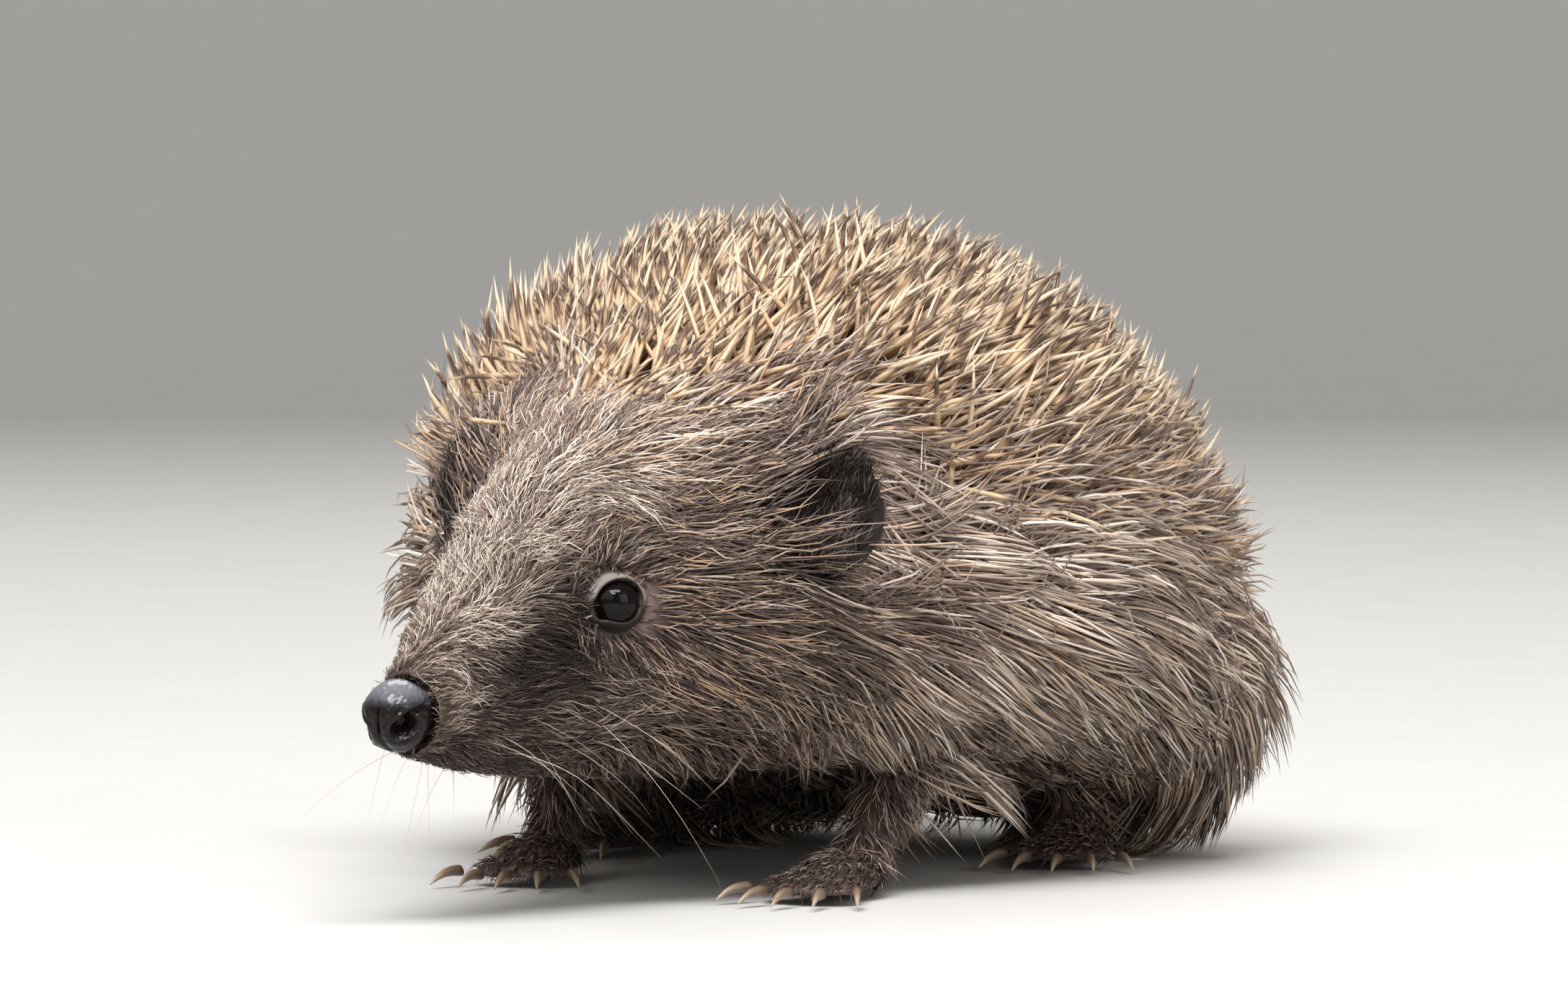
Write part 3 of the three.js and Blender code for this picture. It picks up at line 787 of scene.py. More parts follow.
class Nodes:
    """A short way to wire a material."""

    def __init__(self, name):
        self.material = bpy.data.materials.new(name)
        self.material.use_nodes = True
        self.tree = self.material.node_tree
        self.shader = self.tree.nodes["Principled BSDF"]

    def value(self, socket, source):
        if isinstance(source, bpy.types.NodeSocket):
            self.tree.links.new(source, socket)
        else:
            socket.default_value = source

    def finish(self, **inputs):
        """Sets or links the shader's inputs, named in words joined by underscores."""
        for name, source in inputs.items():
            self.value(self.shader.inputs[name.replace("_", " ").title().replace("Ior", "IOR")], source)
        return self.material

    def add(self, kind, output, sources, **settings):
        """The output of a new node whose inputs are set or linked to the sources."""
        node = self.tree.nodes.new(kind)
        for name, setting in settings.items():
            setattr(node, name, setting)
        for socket, source in sources.items():
            self.value(node.inputs[socket], source)
        return node.outputs[output]

    def attribute(self, name):
        return self.add("ShaderNodeAttribute", "Fac", {}, attribute_name=name)

    def math(self, operation, *sources):
        return self.add("ShaderNodeMath", 0, dict(enumerate(sources)), operation=operation)

    def weighted(self, *pairs):
        """The sum of sources, each times its weight."""
        total = 0.0
        for source, weight in pairs:
            total = self.math("MULTIPLY_ADD", source, weight, total)
        return total

    def ramp(self, source, *stops):
        colour = self.add("ShaderNodeValToRGB", 0, {0: source})
        elements = colour.node.color_ramp.elements
        while len(elements) < len(stops):
            elements.new(0.5)
        for element, (place, stop) in zip(elements, stops):
            element.position = place
            element.color = stop
        return colour

    def noise(self, scale, detail=3.0, stretch=(1, 1, 1)):
        where = self.add("ShaderNodeTexCoord", "Object", {})
        where = self.add("ShaderNodeMapping", 0, {"Scale": stretch, "Vector": where})
        return self.add("ShaderNodeTexNoise", "Fac", {"Scale": scale, "Detail": detail, "Vector": where})

    def cells(self, scale):
        where = self.add("ShaderNodeTexCoord", "Object", {})
        return self.add("ShaderNodeTexVoronoi", "Distance", {"Scale": scale, "Vector": where})

    def mixed(self, share, first, second):
        return self.add("ShaderNodeMix", 2, {"Factor": share, 6: first, 7: second}, data_type="RGBA")

    def bump(self, height, strength, distance):
        return self.add("ShaderNodeBump", 0, {"Strength": strength, "Distance": distance, "Height": height})


def shades(*stops):
    """The stops of a ramp, each given as its place and its red, green and blue."""
    return [(place, shade(*colour)) for place, *colour in stops]


FUR_SHADES = shades((0.0, 32, 25, 23), (0.28, 82, 68, 62), (0.55, 140, 122, 113), (0.78, 202, 184, 169),
                    (1.0, 242, 231, 218))
STRAW_TONES = (0.6, 0.86)  # from the least pale hair that straw may tint to the palest
BANDED_SPINES = 0.72  # the share of the spines that have a dark band


def fur_material(name, mark_share, tone_share, tip_share, base, straw=0.0):
    """Grizzled hair; straw says how far the less pale of its pale hairs turn straw."""
    nodes = Nodes(name)
    value = nodes.weighted((nodes.attribute("mark"), mark_share), (nodes.attribute("tone"), tone_share),
                           (nodes.attribute("along"), tip_share))
    colour = nodes.ramp(nodes.math("ADD", value, base), *FUR_SHADES)
    tone = nodes.attribute("tone")
    low, high = STRAW_TONES
    middling = nodes.math("MULTIPLY", nodes.math("GREATER_THAN", tone, low),
                          nodes.math("LESS_THAN", tone, high))
    colour = nodes.mixed(nodes.math("MULTIPLY", middling, straw), colour, shade(190, 156, 121))
    return nodes.finish(base_color=colour, roughness=0.48, specular_ior_level=0.35)


def spine_material():
    """Straw, with a dark band below a pale tip."""
    nodes = Nodes("spine_banded")
    tone = nodes.attribute("tone")
    along = nodes.weighted((nodes.attribute("along"), 1.0), (tone, 0.16))
    along = nodes.math("ADD", along, -0.08)
    banded = nodes.ramp(along, *shades(
        (0.0, 78, 60, 48), (0.24, 146, 117, 91), (0.46, 217, 187, 151), (0.6, 212, 182, 146),
        (0.68, 92, 70, 57), (0.8, 70, 54, 47), (0.88, 221, 197, 168)))
    plain = nodes.ramp(along, *shades(
        (0.0, 86, 66, 54), (0.3, 168, 138, 107), (0.5, 217, 191, 158), (0.9, 228, 208, 181)))
    unbanded = nodes.math("GREATER_THAN", tone, BANDED_SPINES)
    grain = nodes.noise(1400, 2.0)
    colour = nodes.mixed(unbanded, banded, plain)
    worn = nodes.mixed(nodes.math("MULTIPLY", grain, 0.35), colour, shade(150, 120, 92))
    return nodes.finish(base_color=worn, roughness=0.4, specular_ior_level=0.45)


def skin_material():
    """Dark skin and the shortest fur, with the coat's markings, its lie as fine streaks, and painted shade
    and highlight.
    """
    nodes = Nodes("skin_under_fur")
    grain = nodes.noise(900, 5.0, (1, 0.3, 1))
    broad = nodes.noise(160, 3.0)
    value = nodes.weighted((nodes.attribute("mark"), 0.4), (grain, 0.3), (broad, 0.16))
    fur = nodes.ramp(nodes.math("ADD", value, -0.2), *FUR_SHADES)
    bare_tone = nodes.weighted((grain, 0.6), (broad, 0.5))
    bare = nodes.ramp(bare_tone, *shades((0.3, 80, 64, 61), (0.6, 124, 104, 100), (0.8, 156, 136, 131)))
    # The colour of the painted shade along the lids, in the ears' hollows and in the line between the lips.
    dark = nodes.ramp(bare_tone, *shades((0.3, 9, 6, 5), (0.8, 30, 22, 19)))
    colour = nodes.mixed(nodes.attribute("bare"), fur, bare)
    colour = nodes.mixed(nodes.attribute("dark"), colour, dark)
    # Pale lid rims; the thin pale line on the lower lid is a painted highlight on its wet edge.
    rim = nodes.ramp(bare_tone, *shades((0.3, 116, 108, 104), (0.8, 182, 175, 171)))
    colour = nodes.mixed(nodes.attribute("pale"), colour, rim)
    relief = nodes.bump(nodes.weighted((grain, 1.0), (broad, 0.4)), 0.6, 0.0004)
    return nodes.finish(base_color=colour, roughness=0.62, specular_ior_level=0.3, normal=relief)


def nose_material():
    """Wet black leather, pebbled, with a painted sky reflection on top, and dark red inside the nostrils.
    """
    nodes = Nodes("nose_wet")
    pebbles = nodes.cells(2100)
    fine = nodes.noise(2600, 3.0)
    tint = nodes.mixed(nodes.noise(500), shade(9, 7, 6), shade(27, 20, 18))
    # A pale bluish painted reflection of the sky over the top of the nose.
    tint = nodes.mixed(nodes.attribute("painted_sky_reflection"), tint, shade(106, 106, 114))
    colour = nodes.mixed(nodes.attribute("inside"), tint, shade(30, 9, 8))
    relief = nodes.bump(nodes.weighted((pebbles, -1.0), (fine, 0.4)), 0.55, 0.00016)
    wet = nodes.weighted((nodes.attribute("painted_sky_reflection"), 0.5), (1.0, 0.22))
    return nodes.finish(base_color=colour, roughness=0.3, specular_ior_level=0.16, coat_weight=wet,
                        coat_roughness=0.07, normal=relief)


def eye_material():
    nodes = Nodes("eye_wet")
    colour = nodes.mixed(nodes.noise(700, 2.0), shade(5, 5, 6), shade(18, 13, 11))
    return nodes.finish(base_color=colour, roughness=0.25, specular_ior_level=0.0, coat_weight=0.36,
                        coat_roughness=0.02)


def claw_material():
    nodes = Nodes("claw_horn")
    along = nodes.attribute("along")
    streaks = nodes.noise(1500, 3.0, (1, 0.25, 1))
    value = nodes.weighted((along, 0.7), (streaks, 0.4))
    colour = nodes.ramp(value, *shades((0.15, 74, 58, 48), (0.6, 134, 114, 94), (1.0, 196, 180, 156)))
    relief = nodes.bump(streaks, 0.35, 0.0001)
    return nodes.finish(base_color=colour, roughness=0.38, coat_weight=0.3, coat_roughness=0.25,
                        normal=relief)


def floor_material():
    nodes = Nodes("floor_paper")
    colour = nodes.mixed(nodes.noise(60, 4.0), shade(198, 198, 196), shade(204, 204, 203))
    return nodes.finish(base_color=colour, roughness=0.85, specular_ior_level=0.2)


# ---- What the skin's material reads ----
BARE_CORNER = (0.7, 2.6, 5.6, -3.2, 2.2)  # how bare the skin behind an eye is, from where to where
UPPER_RIM = (0.75, 1.17, 1.44)  # how pale the edge of a lid is, and over which shares of the opening
# The thin pale line on the lower lid is a painted highlight on its wet edge.
LOWER_RIM_GLINT = (0.2, 0.97, 1.01)
UPPER_SHADOW = (0.9, 1.12)
LOWER_SHADOW = (1.04, 1.5)
LID_SHADOW = 0.9


def mark_skin():
    """Writes what the skin's material reads, and returns how bare the skin round the eyes is."""
    mesh = skin.data
    bare, pale, dark = np.zeros((3, len(SKIN)))
    for side in SIDES:
        share, height, across, high = eye_place(side, SKIN.point)
        outside = (height > -3) & (share < 4)
        above = upper_lid(high)
        amount, near, far, low, top = BARE_CORNER
        corner = window(-across, near, far, 1.0) * window(high, low, top, 1.4) * outside * amount
        lid = window(share, *UPPER_RIM[1:], 0.08) * above * UPPER_RIM[0]
        # A painted highlight along the wet edge of the lower lid.
        painted_lid_glint = window(share, *LOWER_RIM_GLINT[1:], 0.025) * (1 - above) * LOWER_RIM_GLINT[0]
        shadow = window(share, *UPPER_SHADOW, 0.04) * above
        shadow = shadow + window(share, *LOWER_SHADOW, 0.07) * (1 - above)
        bare = np.maximum(bare, corner)
        pale = np.maximum(pale, (lid + painted_lid_glint) * outside)
        dark = np.maximum(dark, shadow * outside * LID_SHADOW)
    # Painted shade in the hollows of the ears.
    ear_hollow_shade = ear_hollow(SKIN.point, SKIN.normal)
    sole = (SKIN.kind == FOOT) * smooth_step(2.5, 1.0, SKIN.point[:, 2])
    above, within = above_mouth(to_body(SKIN.point))
    # Under the spines the skin is darker: painted shade between the spines.
    set_float(mesh, "mark", marking(SKIN) * (1 - 0.6 * spiny(SKIN.behind, SKIN.angle)))
    set_float(mesh, "bare", np.maximum(bare, sole * 0.8))
    # pale: the lid rims, the lower one a painted highlight on its wet edge.
    set_float(mesh, "pale", pale)
    # dark: painted shade along the lids, in the ears' hollows and in the line between the lips.
    set_float(mesh, "dark", np.max([dark, ear_hollow_shade, within * hump(above, 0, 0.45)], axis=0))
    mesh.materials.clear()
    mesh.materials.append(skin_material())
    return bare


SKIN_TRIANGLES = read_mesh(skin.data)[1]
SKIN_BARE = mark_skin()


# ---- Eyes ----
def ball(rings_down, around):
    """Directions over a sphere from pole to pole, and the triangles between them."""
    polar = np.linspace(0, math.pi, rings_down + 1)[1:-1]
    turn = np.arange(around) * math.tau / around
    rings = np.stack(np.broadcast_arrays(np.sin(polar)[:, None] * np.cos(turn), np.cos(polar)[:, None],
                                         np.sin(polar)[:, None] * np.sin(turn)), axis=-1)
    points = np.concatenate([[[0, 1, 0]], rings.reshape(-1, 3), [[0, -1, 0]]])
    last = len(points) - 1
    faces = []
    for side in range(around):
        after = (side + 1) % around
        faces.append((0, 1 + after, 1 + side))
        faces.append((last, last - around + side, last - around + after))
        for ring in range(rings_down - 2):
            here, there = 1 + ring * around, 1 + (ring + 1) * around
            faces.append((here + side, here + after, there + after))
            faces.append((here + side, there + after, there + side))
    return points, np.array(faces)


def make_eye(side):
    """An eyeball with its clear bulge in front, looking along the eye's axis."""
    points, faces = ball(48, 64)
    axis, along, upward = eye_frame(side)
    bulge = EYE_BULGE * smooth_step(0.62, 0.95, points[:, 1])
    points = points * (EYE_RADIUS + bulge)[:, None]
    placed = EYES[side] + points[:, :1] * along + points[:, 1:2] * axis + points[:, 2:] * upward
    if SIDES[side] > 0:
        faces = faces[:, ::-1]
    made = mesh_object(f"eyeball_{side}", placed, faces, eye_material())
    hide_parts(f"eye_{side}")
    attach(made, "root")


for each_side in SIDES:
    make_eye(each_side)


# ---- Nose ----
NOSE_RADII = (3.85, 4.35, 4.1)  # across, along and up
NOSTRIL = (50, -15)  # its middle, in degrees to the side and up
NOSTRIL_SIZE = (31, 30)  # its half width and half height, in degrees
NOSTRIL_DEPTH = 2.2
NOSTRIL_LEAN = 0.3  # how far it moves aside with height
GROOVE = (0.45, 0.06)  # the depth and the width of the line down the middle
SLIT = (0.7, 22, 5)  # the depth, place above the nostril, and width of the slit at its side
FLARE = (0.16, 1.12, 0.2)  # the height, place and width of the nostril's rim
BLUNT = (0.86, 0.65)  # beyond the first share of its length the front is drawn in by the second


def make_nose():
    """The wet end of the snout: a blunt bulb with a groove down its middle and curved nostrils."""
    points, faces = ball(110, 150)
    left, forward, up = points.T
    size = np.array(NOSE_RADII)
    front = smooth_step(-0.3, 0.15, forward)
    blunt = np.where(forward > BLUNT[0], BLUNT[0] + (forward - BLUNT[0]) * BLUNT[1], forward)
    plug = np.where(forward < 0, np.sqrt(1 + forward ** 2 + forward ** 4 + forward ** 6), 1.0)
    plug = plug * (1 - 0.14 * smooth_step(0.1, -0.5, forward))
    shaped = np.stack([left * plug, blunt, up * plug], axis=-1) * size
    aside = np.degrees(np.arctan2(np.abs(left), forward))
    rise = np.degrees(np.arcsin(np.clip(up, -1, 1)))
    tilted = (aside - NOSTRIL[0]) - NOSTRIL_LEAN * (rise - NOSTRIL[1])
    narrow = 1 - 0.6 * smooth_step(-22, 14, rise)
    off = np.hypot(tilted / NOSTRIL_SIZE[0] / narrow, (rise - NOSTRIL[1]) / NOSTRIL_SIZE[1])
    pit = smooth_step(0.95, 0.45, off) * front
    flare = hump(off, *FLARE[1:]) * front * (0.45 + 0.55 * smooth_step(20, -25, rise))
    slit = hump(rise - NOSTRIL[1] - SLIT[1], 0.35 * (aside - 60), SLIT[2]) * window(aside, 60, 104, 8)
    groove = hump(left, 0, GROOVE[1]) * smooth_step(0.5, 0.2, up) * smooth_step(0.1, 0.5, forward)
    top = smooth_step(0.25, 0.8, up)
    knobs = np.sin(left * 23) * np.sin(up * 21 + forward * 9) * np.sin(forward * 19)
    relief = FLARE[0] * flare - GROOVE[0] * groove - SLIT[0] * slit - NOSTRIL_DEPTH * pit
    relief = relief - 0.12 * top + 0.05 * knobs
    outward = unit(points / size)
    shaped = shaped + outward * relief[:, None]
    leftward, ahead, upward = nose_frame()
    placed = NOSE - ahead * NOSE_SUNK + shaped[:, :1] * leftward + shaped[:, 1:2] * ahead
    made = mesh_object("nose_tip", placed + shaped[:, 2:] * upward, faces, nose_material())
    set_float(made.data, "inside", smooth_step(0.3, 1.0, pit))
    # A painted pale reflection of the sky over the top of the nose, where the coat is also stronger.
    set_float(made.data, "painted_sky_reflection", smooth_step(0.2, 0.8, up) * (1 - pit))
    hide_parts("nose")
    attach(made, "root")


make_nose()


# ---- Claws ----
CLAW_STATIONS = 14
CLAW_SIDES = 12
CLAW_ROOT = 0.9  # how far it starts inside the toe
CLAW_RISE = 0.55  # how high its middle curves
CLAW_NARROW = 0.82  # its width as a share of its height


def make_claw(limb, toe, material):
    """A curved claw, blunt below and narrow above, on the line of its solid."""
    node = f"claw_{limb}_{toe}"
    vertices, _ = node_arrays(node)
    foot = centre(f"foot_{limb}")
    far = np.argsort(np.linalg.norm((vertices - foot)[:, :2], axis=1))
    tip = vertices[far[-1]]
    near = vertices[far[:max(len(far) // 3, 3)]]
    base = near.mean(axis=0)
    radius = np.linalg.norm(near - base, axis=1).max()
    t = steps(CLAW_STATIONS)[0]
    heading = unit(tip - base)
    across = unit(np.cross(heading, UP))
    raised = np.cross(across, heading)
    root = heading * CLAW_ROOT
    line = base - root + (tip - base + root) * t + raised * (CLAW_RISE * np.sin(t * math.pi))
    turn = (np.arange(CLAW_SIDES) * math.tau / CLAW_SIDES)[None, :, None]
    width = radius * (1 - t ** 1.6) ** 0.8
    ring = np.cos(turn) * across * CLAW_NARROW + np.sin(turn) * raised
    rings = line[:-1, None] + ring * width[:-1, :, None]
    points = np.concatenate([rings.reshape(-1, 3), tip[None]])
    corners, _ = strand_faces(CLAW_STATIONS, CLAW_SIDES)
    made = mesh_object(f"horn_{limb}_{toe}", points, corners, material)
    set_float(made.data, "along", np.append(np.repeat(t[:-1, 0], CLAW_SIDES), 1))
    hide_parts(node)
    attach(made, "root")


horn = claw_material()
for each_limb in LIMBS:
    for each_toe in range(1, TOES + 1):
        make_claw(each_limb, each_toe, horn)


# ---- Spines ----
SPINE_GAP = 1.0
SPINE_TRIES = 36_000
NEVER_ZERO = 1e-9  # added to a weight, so that every place on the skin has one
EYE_PARTING = (8.5, 3.5, 1.6)  # the coat parts round an eye between these distances, that strongly
SPINE_STATIONS = 6
SPINE_SIDES = 5
SPINE_THICKNESS = 0.8
SPINE_TAPER = [(0, 0.55), (0.2, 0.95), (0.5, 1.0), (0.75, 0.74), (1, 0)]


def coat_lie(places):
    """Which way the coat lies on the body: back, and down the flanks."""
    behind, angle = places.behind, places.angle
    down = np.interp(angle, [-80, -45, -15, 10, 40, 90], [0.25, 0.9, 0.45, 0.12, -0.12, 0])
    down = down * smooth_step(20, 60, behind) * (1 - 0.35 * window(behind, 60, 100, 20))
    outward = np.interp(angle, [-60, 0, 60], [0.3, 0.3, 0.25]) * smooth_step(30, 60, behind)
    hang = smooth_step(98, 124, behind) * smooth_step(15, -25, angle)
    direction = body_direction(behind, 1 - 0.75 * hang, outward * places.sign, -down - 1.1 * hang)
    for eye in EYES.values():
        away = places.point - eye
        near = smooth_step(*EYE_PARTING[:2], np.linalg.norm(away, axis=1))
        direction = direction + unit(away) * (near * EYE_PARTING[2])[:, None]
    return tangent(direction, places.normal)


def grow_spines():
    """Stiff spines over the back and crown, crossing in loose bunches."""
    rng = np.random.default_rng(7)
    weight = spiny(SKIN.behind, SKIN.angle) * (SKIN.kind == BODY)
    weight = weight * smooth_step(6.5, 9.5, distance_to(EARS, SKIN.point))
    places = spaced(scatter(SPINE_TRIES, weight + NEVER_ZERO, rng), SPINE_GAP)
    paths = spine_paths(places, rng)
    kept = open_ears(places, paths, rng)
    places, paths = places.take(kept), paths[kept]
    thickness = SPINE_THICKNESS * np.interp(places.behind, [38, 50, 70], [0.7, 0.88, 1])
    thickness = varied(thickness, 0.8, 1.15, rng)
    add_coat("spines", spine_material(), places, paths, thickness, SPINE_TAPER, SPINE_SIDES,
             rng.uniform(0, 1, len(places)))


def spine_paths(places, rng):
    count = len(places)
    direction = body_direction(places.behind, np.ones(count), 0.1 * places.sign, 0.35)
    spread = np.interp(places.behind, [38, 60, 90], [40, 34, 24])
    astray = np.radians(rng.normal(0, 1, count) * spread)
    lie = turned(tangent(direction, places.normal), places.normal, astray)
    length = varied(SPINE_LENGTH(places.behind), 0.82, 1.12, rng)
    rise = varied(places.depth, 0.85, 1.12, rng)
    paths = strand_paths(places, lie, length, rise, SPINE_STATIONS, bow=0.16, stiff=True)
    guides = paths[rng.choice(count, count // 12, replace=False)]
    return gathered(paths, guides, rng.uniform(0.1, 0.45, count), 1.0)


# ---- Fur ----
FACE_HAIRS = 24_500
UNDER_HAIRS = 9_000
GUARD_HAIRS = 14_500
MIXED_HAIRS = 3_500
LIMB_HAIRS = 7_000
LOCK_GAP = 3.6
HAIR_BY_EAR = (4, 6.5)  # long hair grows from the first distance of an ear's middle, fully from the second
FUR_SIDES = 3
FUR_TAPER = [(0, 0.8), (0.3, 1.0), (0.75, 0.7), (1, 0)]
OPEN_EAR = (2.8, 3.7, 6.6)  # hair stays off this: how far behind the ear's middle, and its half sizes
OPEN_EAR_SIDE = 13
LEFT_OVER_EAR = 0.06  # the share of the hairs there that stay
SWIRL_SIZE = 8  # the size of the patches in which the coat lies astray


def tones(count, pale, rng, palest=0.72):
    """The shade of each hair: a share of them pale, and the rest darker."""
    dark = rng.uniform(0, 0.45, count)
    return np.where(rng.random(count) < pale, palest + (1 - palest) * rng.random(count), dark)


def open_ears(places, paths, rng):
    """Which strands stay: most of those that would cross the opening of an ear go."""
    covering = np.zeros(len(places), bool)
    behind, half_width, half_height = OPEN_EAR
    for side in SIDES:
        off = paths[:, 1:] - EARS[side] - np.array([0, behind, 0])
        near = (places.sign == SIDES[side])[:, None] & (np.abs(off[..., 0]) < OPEN_EAR_SIDE)
        inside = np.hypot(off[..., 1] / half_width, off[..., 2] / half_height) < 1
        covering |= (near & inside).any(axis=1)
    return ~covering | (rng.random(len(places)) < LEFT_OVER_EAR)


def add_fur(name, mixture, places, paths, thickness, pale, rng, palest=0.72):
    """A layer of hair, open at the ears; each number may be one for all hairs or one for each."""
    material = fur_material(name, *mixture)
    kept = open_ears(places, paths, rng)
    thickness, pale, palest = (np.broadcast_to(each, len(kept))[kept] for each in (thickness, pale, palest))
    thickness = varied(thickness, 0.78, 1.22, rng)
    tone = tones(len(thickness), pale, rng, palest)
    add_coat(name, material, places.take(kept), paths[kept], thickness, FUR_TAPER, FUR_SIDES, tone)


def swirl(points, size, rng):
    """A random value about 0 at each point that changes smoothly over lengths of that size."""
    waves = unit(rng.normal(size=(6, 3))) * rng.uniform(0.6, 1.6, (6, 1)) * math.tau / size
    return np.sin(points @ waves.T + rng.uniform(0, math.tau, 6)).sum(axis=1) / math.sqrt(3)


def lying(places, spread, rng):
    """The lie of the coat, astray in patches and a little in each hair."""
    astray = 0.75 * swirl(places.point, SWIRL_SIZE, rng) + 0.5 * rng.normal(0, 1, len(places))
    return turned(coat_lie(places), places.normal, np.radians(astray * spread))


def furry(spines=1.0):
    """The body's share of fur at each corner of the skin, less that share of it among the spines."""
    return (1 - spines * spiny(SKIN.behind, SKIN.angle)) * (SKIN.kind == BODY)


def grow_face():
    """Short fine hair over the face, pale and ruffled on the bridge and sleek on the muzzle."""
    rng = np.random.default_rng(11)
    weight = furry() * smooth_step(4.4, 5.6, SKIN.behind) * smooth_step(58, 46, SKIN.behind)
    weight = weight * np.interp(SKIN.behind, [6, 20, 58], [2.2, 1.4, 0.8])
    weight = weight * smooth_step(3.3, 3.7, distance_to(EYES, SKIN.point))
    weight = weight * np.where(SKIN_BARE > 0.3, 0.22, 1)
    places = scatter(FACE_HAIRS, weight, rng)
    count = len(places)
    ruffled = smooth_step(30, 60, places.angle) * (0.25 + 0.75 * window(places.behind, 10, 24, 5))
    short = 0.2 + 0.8 * smooth_step(3.2, 8, distance_to(EYES, places.point))
    length = varied(FUR_LENGTH(places.behind), 0.65, 1.15, rng) * short
    rise = np.minimum(varied(places.depth, 0.4, 1.1, rng) + 0.2, length * (0.4 + 0.3 * ruffled))
    paths = strand_paths(places, lying(places, 17 + 30 * ruffled, rng), length, rise, 5, bow=0.7)
    guides = paths[rng.choice(count, count // 14, replace=False)]
    paths = gathered(paths, guides, rng.uniform(0, 0.6, count))
    paths = wavy(paths, length * (0.05 + 0.08 * ruffled), rng)
    thickness = np.interp(places.behind, [6, 20, 32, 50], [0.1, 0.13, 0.18, 0.28])
    pale = np.interp(places.behind, [10, 24, 36, 48], [0.24, 0.3, 0.34, 0.42]) + 0.15 * ruffled
    pale = pale * (0.4 + 0.6 * smooth_step(0.05, 0.35, marking(places)))
    palest = np.interp(places.behind, [24, 36], [0.86, 0.72])
    mixture = (0.6, 0.54, 0.2, -0.24, 0.6)
    add_fur("face_hair", mixture, places, paths, thickness, pale, rng, palest)


def grow_under():
    """The dense woolly layer under the long hair."""
    rng = np.random.default_rng(13)
    weight = furry(0.85) * smooth_step(42, 52, SKIN.behind)
    weight = weight * smooth_step(*HAIR_BY_EAR, distance_to(EARS, SKIN.point))
    places = scatter(UNDER_HAIRS, weight, rng)
    length = varied(FUR_LENGTH(places.behind), 0.5, 0.8, rng)
    rise = varied(places.depth, 0.4, 0.8, rng)
    paths = wavy(strand_paths(places, lying(places, 30, rng), length, rise, 4), length * 0.08, rng)
    add_fur("under_wool", (0.4, 0.3, 0.16, 0.06), places, paths, 0.4, 0.2, rng)


def grow_guard():
    """Long coarse hair down the flanks, in pointed locks."""
    rng = np.random.default_rng(17)
    weight = furry() * smooth_step(44, 58, SKIN.behind)
    weight = weight * smooth_step(*HAIR_BY_EAR, distance_to(EARS, SKIN.point))
    weight = weight * np.interp(SKIN.angle, [-90, -50, 0], [0.45, 1, 1])
    places = scatter(GUARD_HAIRS, weight, rng)
    guides = guard_paths(spaced(places, LOCK_GAP), rng, 12)
    paths = gathered(guard_paths(places, rng, 8), guides, rng.beta(4, 2, len(places)) * 0.85)
    add_fur("guard_hair", (0.42, 0.57, 0.24, -0.05, 0.5), places, paths, 0.42, 0.52, rng)


def guard_paths(places, rng, spread):
    length = varied(FUR_LENGTH(places.behind), 0.8, 1.12, rng)
    rise = varied(places.depth, 0.8, 1.1, rng)
    paths = strand_paths(places, lying(places, spread, rng), length, rise, 6, sag=length * 0.08, bow=0.7)
    return wavy(paths, length * 0.015, rng)


def grow_mixed():
    """Coarse tan hair among the lowest and foremost spines."""
    rng = np.random.default_rng(19)
    edge = SKIN.angle - SPINE_EDGE(SKIN.behind)
    weight = window(edge, -6, 16, 6) * (SKIN.kind == BODY) * smooth_step(34, 38, SKIN.behind)
    weight = weight * smooth_step(6, 9, distance_to(EARS, SKIN.point))
    places = scatter(MIXED_HAIRS, weight + NEVER_ZERO, rng)
    count = len(places)
    direction = body_direction(places.behind, np.ones(count), 0.2 * places.sign, 0.25)
    lie = turned(tangent(direction, places.normal), places.normal, np.radians(rng.normal(0, 16, count)))
    length = varied(SPINE_LENGTH(places.behind), 0.7, 1.15, rng)
    rise = varied(places.depth, 0.7, 1.1, rng)
    paths = wavy(strand_paths(places, lie, length, rise, 5, bow=0.5), length * 0.02, rng)
    add_fur("mixed_hair", (0.1, 0.45, 0.2, 0.2, 0.8), places, paths, 0.4, 0.5, rng)


def limb_lie(places):
    """Down the legs, forward over the feet, back along the tail and outward on the ears."""
    count = len(places)
    lies = {
        LEG: np.tile([0.0, 0.25, -1.0], (count, 1)),
        FOOT: np.tile([0.0, -1.0, -0.25], (count, 1)),
        TAIL: np.tile([0.0, 1.0, -0.5], (count, 1)),
        EAR: np.stack([0.3 * places.sign, np.full(count, 0.3), np.full(count, 1.0)], axis=-1),
    }
    direction = np.select([(places.kind == kind)[:, None] for kind in lies], list(lies.values()))
    return tangent(unit(direction), places.normal)


